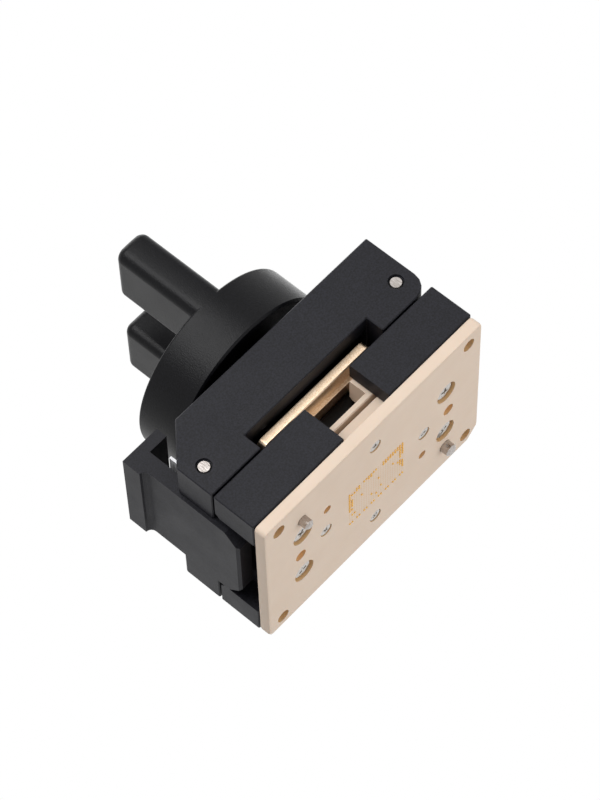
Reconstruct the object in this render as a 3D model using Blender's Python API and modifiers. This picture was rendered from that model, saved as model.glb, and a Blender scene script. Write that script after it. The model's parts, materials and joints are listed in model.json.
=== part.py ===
"""BGA test socket: a beige probe plate, a black body with a floating chip nest, a hinged lid with a
sprung latch, and a winged knob that screws a brass pressure plate down on the chip.

Frame: origin at the middle of the probe plate's board face, +Z up through the knob, +X to the hinge.
"""

import math

import bmesh
import bpy
from mathutils import Matrix, Vector

MM = 0.001

# Overall plan, shared by plate, body and lid: the window and the walls round it
WINDOW_LENGTH = 24.4 * MM
WINDOW_WIDTH = 23.3 * MM
END_WALL = 10.0 * MM
SIDE_WALL = 2.85 * MM
EDGE_BREAK = 0.15 * MM
SEAT_GAP = 0.05 * MM
RUNNING_GAP = 0.08 * MM
SLIDING_GAP = 0.25 * MM

# Probe plate
PLATE_HEIGHT = 2.0 * MM
PLATE_EDGE = 0.4 * MM
PLATE_CORNER_RADIUS = 0.8 * MM
PLATE_KEY_CHAMFER = 2.1 * MM
BOARD_HOLE_INSET_X = 2.8 * MM
BOARD_HOLE_INSET_Y = 2.4 * MM
BOARD_HOLE_RADIUS = 1.1 * MM
TAPPED_RADIUS = 0.8 * MM
TAPPED_DEPTH = 4.5 * MM
ALIGN_HOLE_INSET = 6.8 * MM
ALIGN_HOLE_RADIUS = 1.0 * MM
ALIGN_HOLE_DEPTH = 1.5 * MM
PEG_HOLE_X = 9.9 * MM
PEG_HOLE_Y = 5.4 * MM
PEG_HOLE_RADIUS = 0.72 * MM

# Contact probes
PROBE_PITCH = 0.5 * MM
PROBE_COLUMNS = 23
PROBE_ROWS = 17
PROBE_FIELD_X = 0.08 * MM
PROBE_FIELD_Y = 0.66 * MM
PROBE_RADIUS = 0.13 * MM
PROBE_TIP = 0.15 * MM
PROBE_ROOT = 0.3 * MM
PROBE_SIDES = 6

# Screws from the board face
BODY_SCREW_WALL = 2.65 * MM
BODY_SCREW_INSET_Y = 9.3 * MM
BODY_SCREW_RADIUS = 0.95 * MM
BODY_SCREW_HEAD_RADIUS = 1.6 * MM
BODY_SCREW_HEAD = 0.75 * MM
BODY_SCREW_LENGTH = 5.5 * MM
BODY_SCREW_SINK_RADIUS = 1.9 * MM
BODY_SCREW_SINK = 1.1 * MM
GUIDE_SCREW_INSET_X = 2.0 * MM
GUIDE_SCREW_INSET_Y = 2.05 * MM
GUIDE_SCREW_RADIUS = 0.6 * MM
GUIDE_SCREW_HEAD_RADIUS = 1.05 * MM
GUIDE_SCREW_HEAD = 0.6 * MM
GUIDE_SCREW_LENGTH = 2.6 * MM
GUIDE_SCREW_DEPTH = 0.1 * MM

# Dowel pins
DOWEL_SPACING = 4.05 * MM
DOWEL_RADIUS_HINGE_SIDE = 1.0 * MM
DOWEL_RADIUS_LATCH_SIDE = 0.8 * MM
DOWEL_PROTRUSION = 1.5 * MM
DOWEL_INSERTION = 5.0 * MM
DOWEL_LEAD = 0.3 * MM

# Socket body
BODY_HEIGHT = 7.15 * MM
WINDOW_CORNER_RADIUS = 1.5 * MM
CUTOUT_CENTRE_X = 0.5 * MM
CUTOUT_LENGTH = 9.2 * MM
POCKET_SIDE_ROOM = 1.45 * MM
POCKET_DEPTH = 2.6 * MM
POCKET_CORNER_RADIUS = 0.9 * MM
LEDGE_HEIGHT = 3.0 * MM
UNDERCUT_DEPTH = 0.7 * MM

# Probe guide block and floating nest
GUIDE_HEIGHT = 2.35 * MM
NEST_FLOAT = 0.55 * MM
NEST_HEIGHT = 3.75 * MM
NEST_FLOOR = 0.85 * MM
CHIP_POCKET_LENGTH = 12.0 * MM
CHIP_POCKET_WIDTH = 13.8 * MM
CHIP_POCKET_LEAD = 0.5 * MM
NEST_CUTOUT_INSET = 0.5 * MM
NEST_SCREW_INSET_X = 2.2 * MM
NEST_SCREW_INSET_Y = 2.35 * MM
NEST_SCREW_RADIUS = 0.7 * MM
NEST_SCREW_HEAD_RADIUS = 1.3 * MM
NEST_SCREW_HEAD = 1.0 * MM
NEST_SCREW_ROOT = 1.6 * MM
NEST_SPRING_RADIUS = 1.1 * MM
NEST_SPRING_WIRE = 0.14 * MM
NEST_SPRING_TURNS = 3
NEST_SPRING_POCKET = 0.9 * MM

# Lid
LID_GAP = 0.3 * MM
LID_HEIGHT = 11.7 * MM
LID_HINGE_CORNER = 2.8 * MM
LID_CHAMFER = 5.4 * MM
CHANNEL_END_ROOM = 0.2 * MM
CHANNEL_DEPTH = 3.0 * MM
CAVITY_STEP = 0.2 * MM
CAVITY_DEPTH = 4.7 * MM
PIN_HEIGHT = 3.85 * MM
PIN_RADIUS = 1.0 * MM
PIN_RECESS = 0.35 * MM
PIN_RECESS_RADIUS = 1.2 * MM
KNUCKLE_RADIUS = 2.7 * MM
KNUCKLE_WIDTH = 14.0 * MM
HINGE_SLOT_CLEARANCE = 0.85 * MM

# Latch
LATCH_WIDTH = 16.1 * MM
LATCH_THICKNESS = 2.55 * MM
LATCH_PROUD = 0.55 * MM
LATCH_FOOT = 0.4 * MM
LATCH_EDGE = 0.3 * MM
LATCH_CORNER_CUT = 2.3 * MM
LATCH_TOP = 3.7 * MM
PAD_PROUD = 0.97 * MM
PAD_HEIGHT = 3.15 * MM
TAB_THICKNESS = 1.8 * MM
TAB_REACH = 5.85 * MM
LUG_RADIUS = 2.4 * MM
LUG_SIDE_GAP = 0.3 * MM
LATCH_SLOT_DEPTH = 3.7 * MM
HOOK_HEIGHT = 1.4 * MM
HOOK_RAMP = 0.7 * MM
HOOK_CLEARANCE = 0.15 * MM
LEAF_THICKNESS = 0.4 * MM
LEAF_END_ROOM = 0.8 * MM
LEAF_FOOT_GAP = 0.45 * MM
LEAF_DROP = 0.5 * MM
LEAF_BOW = 0.4 * MM
LEAF_BOW_RADIUS = 3.6 * MM
LEAF_TONGUE_WIDTH = 6.0 * MM

# Pressure plate and pusher
PRESS_END_GAP = 1.25 * MM
PRESS_SIDE_GAP = 0.15 * MM
PRESS_THICKNESS = 1.5 * MM
PRESS_CORNER_RADIUS = 0.8 * MM
PRESS_DROP = 1.0 * MM
STEP_INSET_X = 2.15 * MM
STEP_INSET_Y = 2.7 * MM
STEP_THICKNESS = 0.6 * MM
PUSHER_END_GAP = 1.6 * MM
PUSHER_SIDE_GAP = 0.5 * MM
PUSHER_HEIGHT = 2.5 * MM
GUIDE_PIN_INSET_X = 2.85 * MM
GUIDE_PIN_INSET_Y = 1.7 * MM
GUIDE_PIN_RADIUS = 0.75 * MM
GUIDE_PIN_DEPTH = 3.0 * MM

# Knob and its screw
KNOB_TAB_GAP = 1.9 * MM
KNOB_LIFT = 1.8 * MM
KNOB_DISK_HEIGHT = 7.8 * MM
KNOB_RIM_RADIUS = 0.35 * MM
KNOB_FOOT_CHAMFER = 0.3 * MM
WING_HEIGHT = 14.9 * MM
WING_WIDTH = 5.8 * MM
WING_INNER = 4.2 * MM
WING_INSET = 0.06 * MM
WING_ROOT = 2.0 * MM
WING_CORNER_RADIUS = 1.5 * MM
WING_TOP_RADIUS = 1.2 * MM
STEM_RADIUS = 8.0 * MM
STEM_NECK_RADIUS = 5.0 * MM
STEM_NECK_HEIGHT = 4.0 * MM
WASHER_THICKNESS = 0.4 * MM
WASHER_RADIUS = 6.5 * MM
SHOULDER_RADIUS = 2.0 * MM
SHOULDER_HEAD_RADIUS = 3.4 * MM
SHOULDER_HEAD = 1.2 * MM
SHOULDER_ROOT = 4.0 * MM
KNOB_SCREW_RADIUS = 1.5 * MM
KNOB_SCREW_HEAD_RADIUS = 2.75 * MM
KNOB_SCREW_HEAD = 3.0 * MM
KNOB_SCREW_WEB = 0.5 * MM
KNOB_SCREW_LENGTH = 6.0 * MM
KNOB_SCREW_SOCKET = 1.25 * MM

# Roundness of turned and bored shapes
FINE_SIDES = 48
PIN_SIDES = 24
HOLE_SIDES = 20
SMALL_SIDES = 16
COIL_SIDES = 8
CORNER_STEPS = 4
PLATE_EDGE_STEPS = 2
WING_TOP_STEPS = 3
HEXAGON = 6

# Length by which a cutter runs past what it cuts, and the straight left between two tangent arcs
OVERSHOOT = 2.0 * MM
TANGENT_FLAT = 0.003 * MM

# Places and sizes that follow from others
LENGTH = WINDOW_LENGTH + 2 * END_WALL
WIDTH = WINDOW_WIDTH + 2 * SIDE_WALL
BOARD_HOLE_X = LENGTH / 2 - BOARD_HOLE_INSET_X
BOARD_HOLE_Y = WIDTH / 2 - BOARD_HOLE_INSET_Y
ALIGN_HOLE_X = LENGTH / 2 - ALIGN_HOLE_INSET
BODY_SCREW_X = WINDOW_LENGTH / 2 + BODY_SCREW_WALL
BODY_SCREW_Y = WIDTH / 2 - BODY_SCREW_INSET_Y
DOWEL_X = BODY_SCREW_X
DOWEL_Y = BODY_SCREW_Y + DOWEL_SPACING
GUIDE_SCREW_X = WINDOW_LENGTH / 2 - GUIDE_SCREW_INSET_X
GUIDE_SCREW_Y = WINDOW_WIDTH / 2 - GUIDE_SCREW_INSET_Y
NEST_SCREW_X = WINDOW_LENGTH / 2 - NEST_SCREW_INSET_X
NEST_SCREW_Y = WINDOW_WIDTH / 2 - NEST_SCREW_INSET_Y
CHANNEL_LENGTH = WINDOW_LENGTH + 2 * CHANNEL_END_ROOM
CAVITY_LENGTH = WINDOW_LENGTH - 2 * CAVITY_STEP
CAVITY_WIDTH = WINDOW_WIDTH - 2 * CAVITY_STEP
PRESS_LENGTH = CAVITY_LENGTH - 2 * PRESS_END_GAP
PRESS_WIDTH = CAVITY_WIDTH - 2 * PRESS_SIDE_GAP
STEP_LENGTH = PRESS_LENGTH - 2 * STEP_INSET_X
STEP_WIDTH = PRESS_WIDTH - 2 * STEP_INSET_Y
GUIDE_PIN_X = PRESS_LENGTH / 2 - GUIDE_PIN_INSET_X
GUIDE_PIN_Y = PRESS_WIDTH / 2 - GUIDE_PIN_INSET_Y
LATCH_SLOT_WIDTH = LATCH_WIDTH + 2 * SLIDING_GAP
POCKET_WIDTH = LATCH_WIDTH + 2 * POCKET_SIDE_ROOM
LEAF_WIDTH = LATCH_SLOT_WIDTH - 2 * LEAF_END_ROOM
KNOB_RADIUS = LENGTH / 2 + LATCH_PROUD - TAB_REACH - KNOB_TAB_GAP

# Levels that several pieces share
BODY_BOTTOM = PLATE_HEIGHT + SEAT_GAP
BODY_TOP = BODY_BOTTOM + BODY_HEIGHT
GUIDE_TOP = BODY_BOTTOM + GUIDE_HEIGHT
NEST_BOTTOM = GUIDE_TOP + NEST_FLOAT + RUNNING_GAP
NEST_TOP = NEST_BOTTOM + NEST_HEIGHT
LID_BOTTOM = BODY_TOP + LID_GAP
LID_TOP = LID_BOTTOM + LID_HEIGHT
CHANNEL_TOP = LID_BOTTOM + CHANNEL_DEPTH
CAVITY_TOP = LID_BOTTOM + CAVITY_DEPTH
PIN_Z = LID_BOTTOM + PIN_HEIGHT
HINGE_X = LENGTH / 2 - KNUCKLE_RADIUS
LATCH_X = -HINGE_X
STEP_BOTTOM = max(NEST_TOP, BODY_TOP - STEP_THICKNESS) + PRESS_DROP + RUNNING_GAP
PRESS_BOTTOM = STEP_BOTTOM + STEP_THICKNESS
PRESS_TOP = PRESS_BOTTOM + PRESS_THICKNESS
STEM_BOTTOM = PRESS_TOP + WASHER_THICKNESS + 2 * SEAT_GAP
KNOB_BOTTOM = LID_TOP + KNOB_LIFT
DISK_TOP = KNOB_BOTTOM + KNOB_DISK_HEIGHT
WING_TOP = DISK_TOP + WING_HEIGHT

ALONG_Y = Matrix.Rotation(-math.pi / 2, 4, "X")
UPRIGHT = Matrix.Identity(4)

# Turns an outline drawn in X and Z so that its thickness runs along Y
SIDE_ON = Matrix.Rotation(math.pi / 2, 4, "X")

MATERIALS = {
    "black_anodised": ((0.045, 0.045, 0.05), 0.5, 0.6),
    "black_knob": ((0.03, 0.03, 0.033), 0.45, 0.0),
    "probe_plate_beige": ((0.68, 0.56, 0.43), 0.6, 0.0),
    "brass": ((0.83, 0.62, 0.33), 0.3, 1.0),
    "steel": ((0.62, 0.62, 0.64), 0.25, 1.0),
    "spring_steel": ((0.5, 0.5, 0.52), 0.3, 1.0),
}


def clear_scene():
    for item in list(bpy.data.objects):
        bpy.data.objects.remove(item, do_unlink=True)


def make_collection(name):
    collection = bpy.data.collections.new(name)
    bpy.context.scene.collection.children.link(collection)
    return collection


def make_material(node, finish):
    colour, roughness, metallic = MATERIALS[finish]
    material = bpy.data.materials.new(node + "_" + finish)
    material.use_nodes = True
    shader = material.node_tree.nodes["Principled BSDF"]
    shader.inputs["Base Color"].default_value = (*colour, 1)
    shader.inputs["Roughness"].default_value = roughness
    shader.inputs["Metallic"].default_value = metallic
    material.diffuse_color = (*colour, 1)
    return material


def link_mesh(name, mesh, collection):
    item = bpy.data.objects.new(name, mesh)
    collection.objects.link(item)
    return item


def mesh_from(name, shape):
    """Turns a bmesh into a mesh with its faces pointing out."""
    bmesh.ops.recalc_face_normals(shape, faces=shape.faces)
    mesh = bpy.data.meshes.new(name)
    shape.to_mesh(mesh)
    shape.free()
    return mesh


def box_shape(low, high):
    """A box between two opposite corners."""
    shape = bmesh.new()
    bmesh.ops.create_cube(shape, size=1)
    size = Vector(high) - Vector(low)
    middle = (Vector(high) + Vector(low)) / 2
    bmesh.ops.scale(shape, vec=size, verts=shape.verts)
    bmesh.ops.translate(shape, vec=middle, verts=shape.verts)
    return shape


def cylinder_shape(radius, low, high, sides=HOLE_SIDES, turn=UPRIGHT, top_radius=None):
    """A cylinder or cone from low to high along its own axis, which turn lays over."""
    shape = bmesh.new()
    bmesh.ops.create_cone(
        shape,
        cap_ends=True,
        segments=sides,
        radius1=radius,
        radius2=radius if top_radius is None else top_radius,
        depth=high - low,
    )
    bmesh.ops.translate(shape, vec=(0, 0, (low + high) / 2), verts=shape.verts)
    bmesh.ops.transform(shape, matrix=turn, verts=shape.verts)
    return shape


def joined(shapes):
    """Several closed shapes in one bmesh."""
    whole = bmesh.new()
    for shape in shapes:
        mesh = bpy.data.meshes.new("piece")
        shape.to_mesh(mesh)
        shape.free()
        whole.from_mesh(mesh)
        bpy.data.meshes.remove(mesh)
    return whole


def moved(shape, x=0.0, y=0.0, z=0.0):
    bmesh.ops.translate(shape, vec=(x, y, z), verts=shape.verts)
    return shape


def corner_arc(before, corner, after, radius):
    """Points of a rounded corner between two straight runs."""
    corner, before, after = Vector(corner), Vector(before), Vector(after)
    to_before = (before - corner).normalized()
    to_after = (after - corner).normalized()
    half_angle = to_before.angle(to_after) / 2
    bisector = (to_before + to_after).normalized()
    centre = corner + bisector * radius / math.sin(half_angle)
    start = corner + to_before * radius / math.tan(half_angle) - centre
    end = corner + to_after * radius / math.tan(half_angle) - centre
    sweep = start.angle_signed(end)
    steps = range(CORNER_STEPS + 1)
    return [centre + Matrix.Rotation(-sweep * i / CORNER_STEPS, 2) @ start for i in steps]


def outline(corners):
    """A closed outline from (x, y, radius) corners."""
    points = []
    for i, (x, y, radius) in enumerate(corners):
        if radius <= 0:
            points.append(Vector((x, y)))
            continue
        before = corners[i - 1][:2]
        after = corners[(i + 1) % len(corners)][:2]
        points.extend(corner_arc(before, (x, y), after, radius))
    return points


def rectangle(length, width, radius, centre_x=0.0):
    x, y = length / 2, width / 2
    return outline(
        [
            (centre_x - x, -y, radius),
            (centre_x + x, -y, radius),
            (centre_x + x, y, radius),
            (centre_x - x, y, radius),
        ]
    )


def extruded(name, points, low, high, collection, turn=UPRIGHT):
    """A flat outline given a thickness from low to high, made a mesh so that it can be cut."""
    curve = bpy.data.curves.new(name, "CURVE")
    curve.dimensions = "2D"
    curve.fill_mode = "BOTH"
    curve.extrude = (high - low) / 2
    spline = curve.splines.new("POLY")
    spline.points.add(len(points) - 1)
    for point, place in zip(spline.points, points):
        point.co = (place.x, place.y, 0, 1)
    spline.use_cyclic_u = True
    holder = bpy.data.objects.new(name + "_outline", curve)
    collection.objects.link(holder)
    holder.matrix_world = turn @ Matrix.Translation((0, 0, (low + high) / 2))
    bpy.context.view_layer.update()
    graph = bpy.context.evaluated_depsgraph_get()
    mesh = bpy.data.meshes.new_from_object(holder.evaluated_get(graph))
    mesh.transform(holder.matrix_world)
    bpy.data.objects.remove(holder, do_unlink=True)
    shape = bmesh.new()
    shape.from_mesh(mesh)
    bpy.data.meshes.remove(mesh)
    bmesh.ops.remove_doubles(shape, verts=shape.verts, dist=0.001 * MM)
    bmesh.ops.dissolve_limit(
        shape, angle_limit=math.radians(0.5), verts=shape.verts, edges=shape.edges
    )
    return link_mesh(name, mesh_from(name, shape), collection)


def turned(name, profile, collection, sides=PIN_SIDES, turn=UPRIGHT):
    """A solid of revolution: the profile runs down its outer side, as (radius, height)."""
    shape = bmesh.new()
    points = [shape.verts.new((radius, 0, height)) for radius, height in profile]
    for first, second in zip(points, points[1:]):
        shape.edges.new((first, second))
    mesh = bpy.data.meshes.new(name)
    shape.to_mesh(mesh)
    shape.free()
    item = link_mesh(name, mesh, collection)
    screw = item.modifiers.new("Revolve", "SCREW")
    screw.axis = "Z"
    screw.steps = sides
    screw.render_steps = sides
    screw.use_merge_vertices = True
    screw.merge_threshold = 0.00001
    screw.use_normal_calculate = False
    item.matrix_world = turn
    return item


def coil(name, radius, wire_radius, length, turns, collection):
    """An open compression spring along Z, standing on its own origin."""
    curve = bpy.data.curves.new(name, "CURVE")
    curve.dimensions = "3D"
    curve.bevel_depth = wire_radius
    curve.bevel_resolution = 2
    curve.use_fill_caps = True
    spline = curve.splines.new("POLY")
    count = turns * COIL_SIDES + 1
    spline.points.add(count - 1)
    rise = length - 2 * wire_radius
    for i, point in enumerate(spline.points):
        angle = 2 * math.pi * i / COIL_SIDES
        height = wire_radius + rise * i / (count - 1)
        point.co = (radius * math.cos(angle), radius * math.sin(angle), height, 1)
    item = bpy.data.objects.new(name, curve)
    collection.objects.link(item)
    return item


def combine(target, tool, operation, nested=False):
    """Adds a Boolean that takes a hidden tool object; nested says its shapes overlap."""
    boolean = target.modifiers.new(operation.title() + " " + tool.name, "BOOLEAN")
    boolean.operation = operation
    boolean.solver = "EXACT"
    boolean.use_self = nested
    boolean.object = tool
    return target


def tool_object(name, shape, tools):
    item = link_mesh(name, mesh_from(name, shape), tools)
    return hidden(item)


def hidden(item):
    item.hide_render = True
    item.display_type = "WIRE"
    return item


def break_edges(item, width, segments=1):
    """Breaks the sharp edges, as machined parts have them."""
    bevel = item.modifiers.new("Edge break", "BEVEL")
    bevel.width = width
    bevel.segments = segments
    bevel.limit_method = "ANGLE"
    bevel.angle_limit = math.radians(40)
    return item


def finish(item, finish_name, smooth_angle=35):
    item.data.materials.clear()
    item.data.materials.append(make_material(item.name, finish_name))
    if item.type == "MESH":
        item.data.shade_smooth()
        item.data.set_sharp_from_angle(angle=math.radians(smooth_angle))
    return item


def four(x, y):
    return [(-x, -y), (-x, y), (x, -y), (x, y)]


def cross(x, y):
    return [(-x, 0.0), (x, 0.0), (0.0, -y), (0.0, y)]


def bores(places, radius, low, high, sides=HOLE_SIDES):
    return [moved(cylinder_shape(radius, low, high, sides), x, y) for x, y in places]


def probe_cells():
    """Columns and rows of the populated probes, in runs as the chip's balls lie."""
    last_column, last_row = PROBE_COLUMNS - 1, PROBE_ROWS - 1
    runs = [
        ((0, 0), (0, 9)),
        ((1, 1), (1, 1)),
        ((1, 1), (4, 7)),
        ((1, 1), (9, 9)),
        ((1, 2), (12, 12)),
        ((2, 2), (1, 1)),
        ((3, 4), (0, 1)),
        ((6, 7), (0, 0)),
        ((8, 9), (0, 1)),
        ((10, 11), (0, 0)),
        ((14, 20), (0, 1)),
        ((last_column - 1, last_column), (0, 5)),
        ((last_column - 1, last_column - 1), (6, 6)),
        ((5, 5), (6, 6)),
        ((12, 12), (6, 6)),
        ((18, 18), (6, 6)),
        ((last_column - 2, last_column - 1), (8, 8)),
        ((last_column - 1, last_column), (9, 10)),
        ((last_column, last_column), (11, 12)),
        ((9, 9), (11, 11)),
        ((13, 13), (11, 11)),
        ((11, 11), (13, 13)),
    ]
    cells = [
        (column, row)
        for (first, last), (top, bottom) in runs
        for column in range(first, last + 1)
        for row in range(top, bottom + 1)
    ]
    pairs = [(column, last_row) for column in range(PROBE_COLUMNS) if column % 3 != 2]
    return sorted(set(cells + pairs))


def probe_places():
    left = PROBE_FIELD_X - PROBE_PITCH * (PROBE_COLUMNS - 1) / 2
    near = PROBE_FIELD_Y - PROBE_PITCH * (PROBE_ROWS - 1) / 2
    return [(left + PROBE_PITCH * c, near + PROBE_PITCH * r) for c, r in probe_cells()]


def base_plate(parts, tools):
    """Beige plate against the board, with the tips of its contact probes standing out below."""
    x, y = LENGTH / 2, WIDTH / 2
    radius = PLATE_CORNER_RADIUS
    plan = outline(
        [
            (-x, -y, radius),
            (x, -y, radius),
            (x, y - PLATE_KEY_CHAMFER, 0),
            (x - PLATE_KEY_CHAMFER, y, 0),
            (-x, y, radius),
        ]
    )
    plate = extruded("base_plate", plan, 0, PLATE_HEIGHT, parts)
    break_edges(plate, PLATE_EDGE, PLATE_EDGE_STEPS)
    below, above = -OVERSHOOT, PLATE_HEIGHT + OVERSHOOT
    holes = bores(four(BOARD_HOLE_X, BOARD_HOLE_Y), BOARD_HOLE_RADIUS, below, above)
    holes += bores(four(BODY_SCREW_X, BODY_SCREW_Y), BODY_SCREW_SINK_RADIUS, below, BODY_SCREW_SINK)
    holes += bores(
        four(BODY_SCREW_X, BODY_SCREW_Y), BODY_SCREW_RADIUS + RUNNING_GAP, 0, above, SMALL_SIDES
    )
    holes += bores(
        cross(GUIDE_SCREW_X, GUIDE_SCREW_Y), GUIDE_SCREW_RADIUS + RUNNING_GAP, below, above, SMALL_SIDES
    )
    holes += bores(
        cross(GUIDE_SCREW_X, GUIDE_SCREW_Y),
        GUIDE_SCREW_HEAD_RADIUS + RUNNING_GAP,
        below,
        GUIDE_SCREW_DEPTH + GUIDE_SCREW_HEAD + SEAT_GAP,
        SMALL_SIDES,
    )
    holes += bores([(-ALIGN_HOLE_X, 0), (ALIGN_HOLE_X, 0)], ALIGN_HOLE_RADIUS, below, ALIGN_HOLE_DEPTH)
    pegs = [(-PEG_HOLE_X, -PEG_HOLE_Y), (PEG_HOLE_X, PEG_HOLE_Y)]
    holes += bores(pegs, PEG_HOLE_RADIUS, below, ALIGN_HOLE_DEPTH, SMALL_SIDES)
    holes += dowel_bores(below, above)
    combine(plate, tool_object("base_plate_holes", joined(holes), tools), "DIFFERENCE", True)
    tips = bores(probe_places(), PROBE_RADIUS, -PROBE_TIP, PROBE_ROOT, PROBE_SIDES)
    combine(plate, tool_object("probe_tips", joined(tips), tools), "UNION")
    return finish(plate, "probe_plate_beige")


def dowel_bores(low, high):
    holes = bores([(DOWEL_X, DOWEL_Y)], DOWEL_RADIUS_HINGE_SIDE + SEAT_GAP, low, high)
    holes += bores([(-DOWEL_X, -DOWEL_Y)], DOWEL_RADIUS_LATCH_SIDE + SEAT_GAP, low, high)
    return holes


def dowel_pin(name, radius, x, y, parts):
    """Hardened pin with a rounded lead that finds its hole in the board."""
    top = PLATE_HEIGHT + DOWEL_INSERTION - SEAT_GAP
    profile = [
        (0, top),
        (radius, top),
        (radius, -DOWEL_PROTRUSION + DOWEL_LEAD),
        (radius - DOWEL_LEAD, -DOWEL_PROTRUSION),
        (0, -DOWEL_PROTRUSION),
    ]
    pin = turned(name, profile, parts, PIN_SIDES)
    pin.location = (x, y, 0)
    return finish(pin, "steel")


def body_screw(name, x, y, parts):
    """Cheese-head screw that holds the plate to the body."""
    seat = BODY_SCREW_SINK - SEAT_GAP
    end = seat + BODY_SCREW_LENGTH
    edge = EDGE_BREAK
    profile = [
        (0, end),
        (BODY_SCREW_RADIUS, end),
        (BODY_SCREW_RADIUS, seat),
        (BODY_SCREW_HEAD_RADIUS, seat),
        (BODY_SCREW_HEAD_RADIUS, seat - BODY_SCREW_HEAD + edge),
        (BODY_SCREW_HEAD_RADIUS - edge, seat - BODY_SCREW_HEAD),
        (0, seat - BODY_SCREW_HEAD),
    ]
    screw = turned(name, profile, parts, SMALL_SIDES)
    screw.location = (x, y, 0)
    return finish(screw, "steel")


def guide_screw(name, x, y, parts):
    """Small flat screw that holds the guide block to the plate."""
    seat = GUIDE_SCREW_DEPTH + GUIDE_SCREW_HEAD
    end = seat + GUIDE_SCREW_LENGTH
    profile = [
        (0, end),
        (GUIDE_SCREW_RADIUS, end),
        (GUIDE_SCREW_RADIUS, seat),
        (GUIDE_SCREW_HEAD_RADIUS, seat),
        (GUIDE_SCREW_HEAD_RADIUS, GUIDE_SCREW_DEPTH),
        (0, GUIDE_SCREW_DEPTH),
    ]
    screw = turned(name, profile, parts, SMALL_SIDES)
    screw.location = (x, y, 0)
    return finish(screw, "steel")


def socket_body(parts, tools):
    """Black frame round the nest: side cut-outs for tweezers, a hinge knuckle and a latch pocket."""
    x, y = LENGTH / 2, WIDTH / 2
    body = extruded("socket_body", rectangle(LENGTH, WIDTH, 0), BODY_BOTTOM, BODY_TOP, parts)
    break_edges(body, EDGE_BREAK)
    knuckle = outline(
        [
            (HINGE_X - KNUCKLE_RADIUS, BODY_TOP - LEDGE_HEIGHT, 0),
            (HINGE_X + KNUCKLE_RADIUS, BODY_TOP - LEDGE_HEIGHT, 0),
            (HINGE_X + KNUCKLE_RADIUS, PIN_Z + KNUCKLE_RADIUS, KNUCKLE_RADIUS - TANGENT_FLAT),
            (HINGE_X - KNUCKLE_RADIUS, PIN_Z + KNUCKLE_RADIUS, KNUCKLE_RADIUS - TANGENT_FLAT),
        ]
    )
    half = KNUCKLE_WIDTH / 2
    combine(body, hidden(extruded("knuckle", knuckle, -half, half, tools, SIDE_ON)), "UNION")
    below, above = BODY_BOTTOM - OVERSHOOT, BODY_TOP + OVERSHOOT
    window = rectangle(WINDOW_LENGTH, WINDOW_WIDTH, WINDOW_CORNER_RADIUS)
    combine(body, hidden(extruded("body_window", window, below, above, tools)), "DIFFERENCE")
    left, right = CUTOUT_CENTRE_X - CUTOUT_LENGTH / 2, CUTOUT_CENTRE_X + CUTOUT_LENGTH / 2
    cutouts = [
        box_shape((left, -2 * y, below), (right, -y / 2, above)),
        box_shape((left, y / 2, GUIDE_TOP), (right, 2 * y, above)),
    ]
    combine(body, tool_object("body_cutouts", joined(cutouts), tools), "DIFFERENCE")
    half, top = POCKET_WIDTH / 2, POCKET_CORNER_RADIUS
    pocket_face = outline(
        [
            (-half, below, 0),
            (half, below, 0),
            (half, BODY_TOP - top, 0),
            (half + top, BODY_TOP, 0),
            (half + top, above, 0),
            (-half - top, above, 0),
            (-half - top, BODY_TOP, 0),
            (-half, BODY_TOP - top, 0),
        ]
    )
    end_on = Matrix.Rotation(math.pi / 2, 4, "Z") @ Matrix.Rotation(math.pi / 2, 4, "X")
    pocket = extruded("latch_pocket", pocket_face, -2 * x, -x + POCKET_DEPTH, tools, end_on)
    combine(body, hidden(pocket), "DIFFERENCE")
    undercut = box_shape(
        (-2 * x, -half, below),
        (-x + POCKET_DEPTH + UNDERCUT_DEPTH, half, BODY_TOP - LEDGE_HEIGHT),
    )
    combine(body, tool_object("hook_undercut", undercut, tools), "DIFFERENCE")
    holes = bores(
        four(BOARD_HOLE_X, BOARD_HOLE_Y), TAPPED_RADIUS, below, BODY_BOTTOM + TAPPED_DEPTH, SMALL_SIDES
    )
    screw_end = BODY_SCREW_SINK + BODY_SCREW_LENGTH
    holes += bores(
        four(BODY_SCREW_X, BODY_SCREW_Y), BODY_SCREW_RADIUS + RUNNING_GAP, below, screw_end, SMALL_SIDES
    )
    holes += dowel_bores(below, PLATE_HEIGHT + DOWEL_INSERTION)
    pin = cylinder_shape(PIN_RADIUS + RUNNING_GAP, -2 * y, 2 * y, PIN_SIDES, ALONG_Y)
    holes.append(moved(pin, HINGE_X, 0, PIN_Z))
    combine(body, tool_object("body_holes", joined(holes), tools), "DIFFERENCE")
    return finish(body, "black_anodised")


def pin_guide_block(parts, tools):
    """Beige block that guides the probes from the plate to the nest."""
    length = WINDOW_LENGTH - 2 * SLIDING_GAP
    width = WINDOW_WIDTH - 2 * SLIDING_GAP
    plan = rectangle(length, width, WINDOW_CORNER_RADIUS - SLIDING_GAP)
    block = extruded("pin_guide_block", plan, BODY_BOTTOM, GUIDE_TOP, parts)
    break_edges(block, EDGE_BREAK)
    below = BODY_BOTTOM - OVERSHOOT
    end = GUIDE_SCREW_DEPTH + GUIDE_SCREW_HEAD + GUIDE_SCREW_LENGTH + RUNNING_GAP
    holes = bores(
        cross(GUIDE_SCREW_X, GUIDE_SCREW_Y), GUIDE_SCREW_RADIUS + RUNNING_GAP, below, end, SMALL_SIDES
    )
    above = GUIDE_TOP + OVERSHOOT
    root = GUIDE_TOP - NEST_SCREW_ROOT - RUNNING_GAP
    holes += bores(
        four(NEST_SCREW_X, NEST_SCREW_Y), NEST_SCREW_RADIUS + RUNNING_GAP, root, above, SMALL_SIDES
    )
    holes += spring_pockets(GUIDE_TOP - NEST_SPRING_POCKET, above)
    combine(block, tool_object("guide_block_holes", joined(holes), tools), "DIFFERENCE", True)
    return finish(block, "probe_plate_beige")


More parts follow.
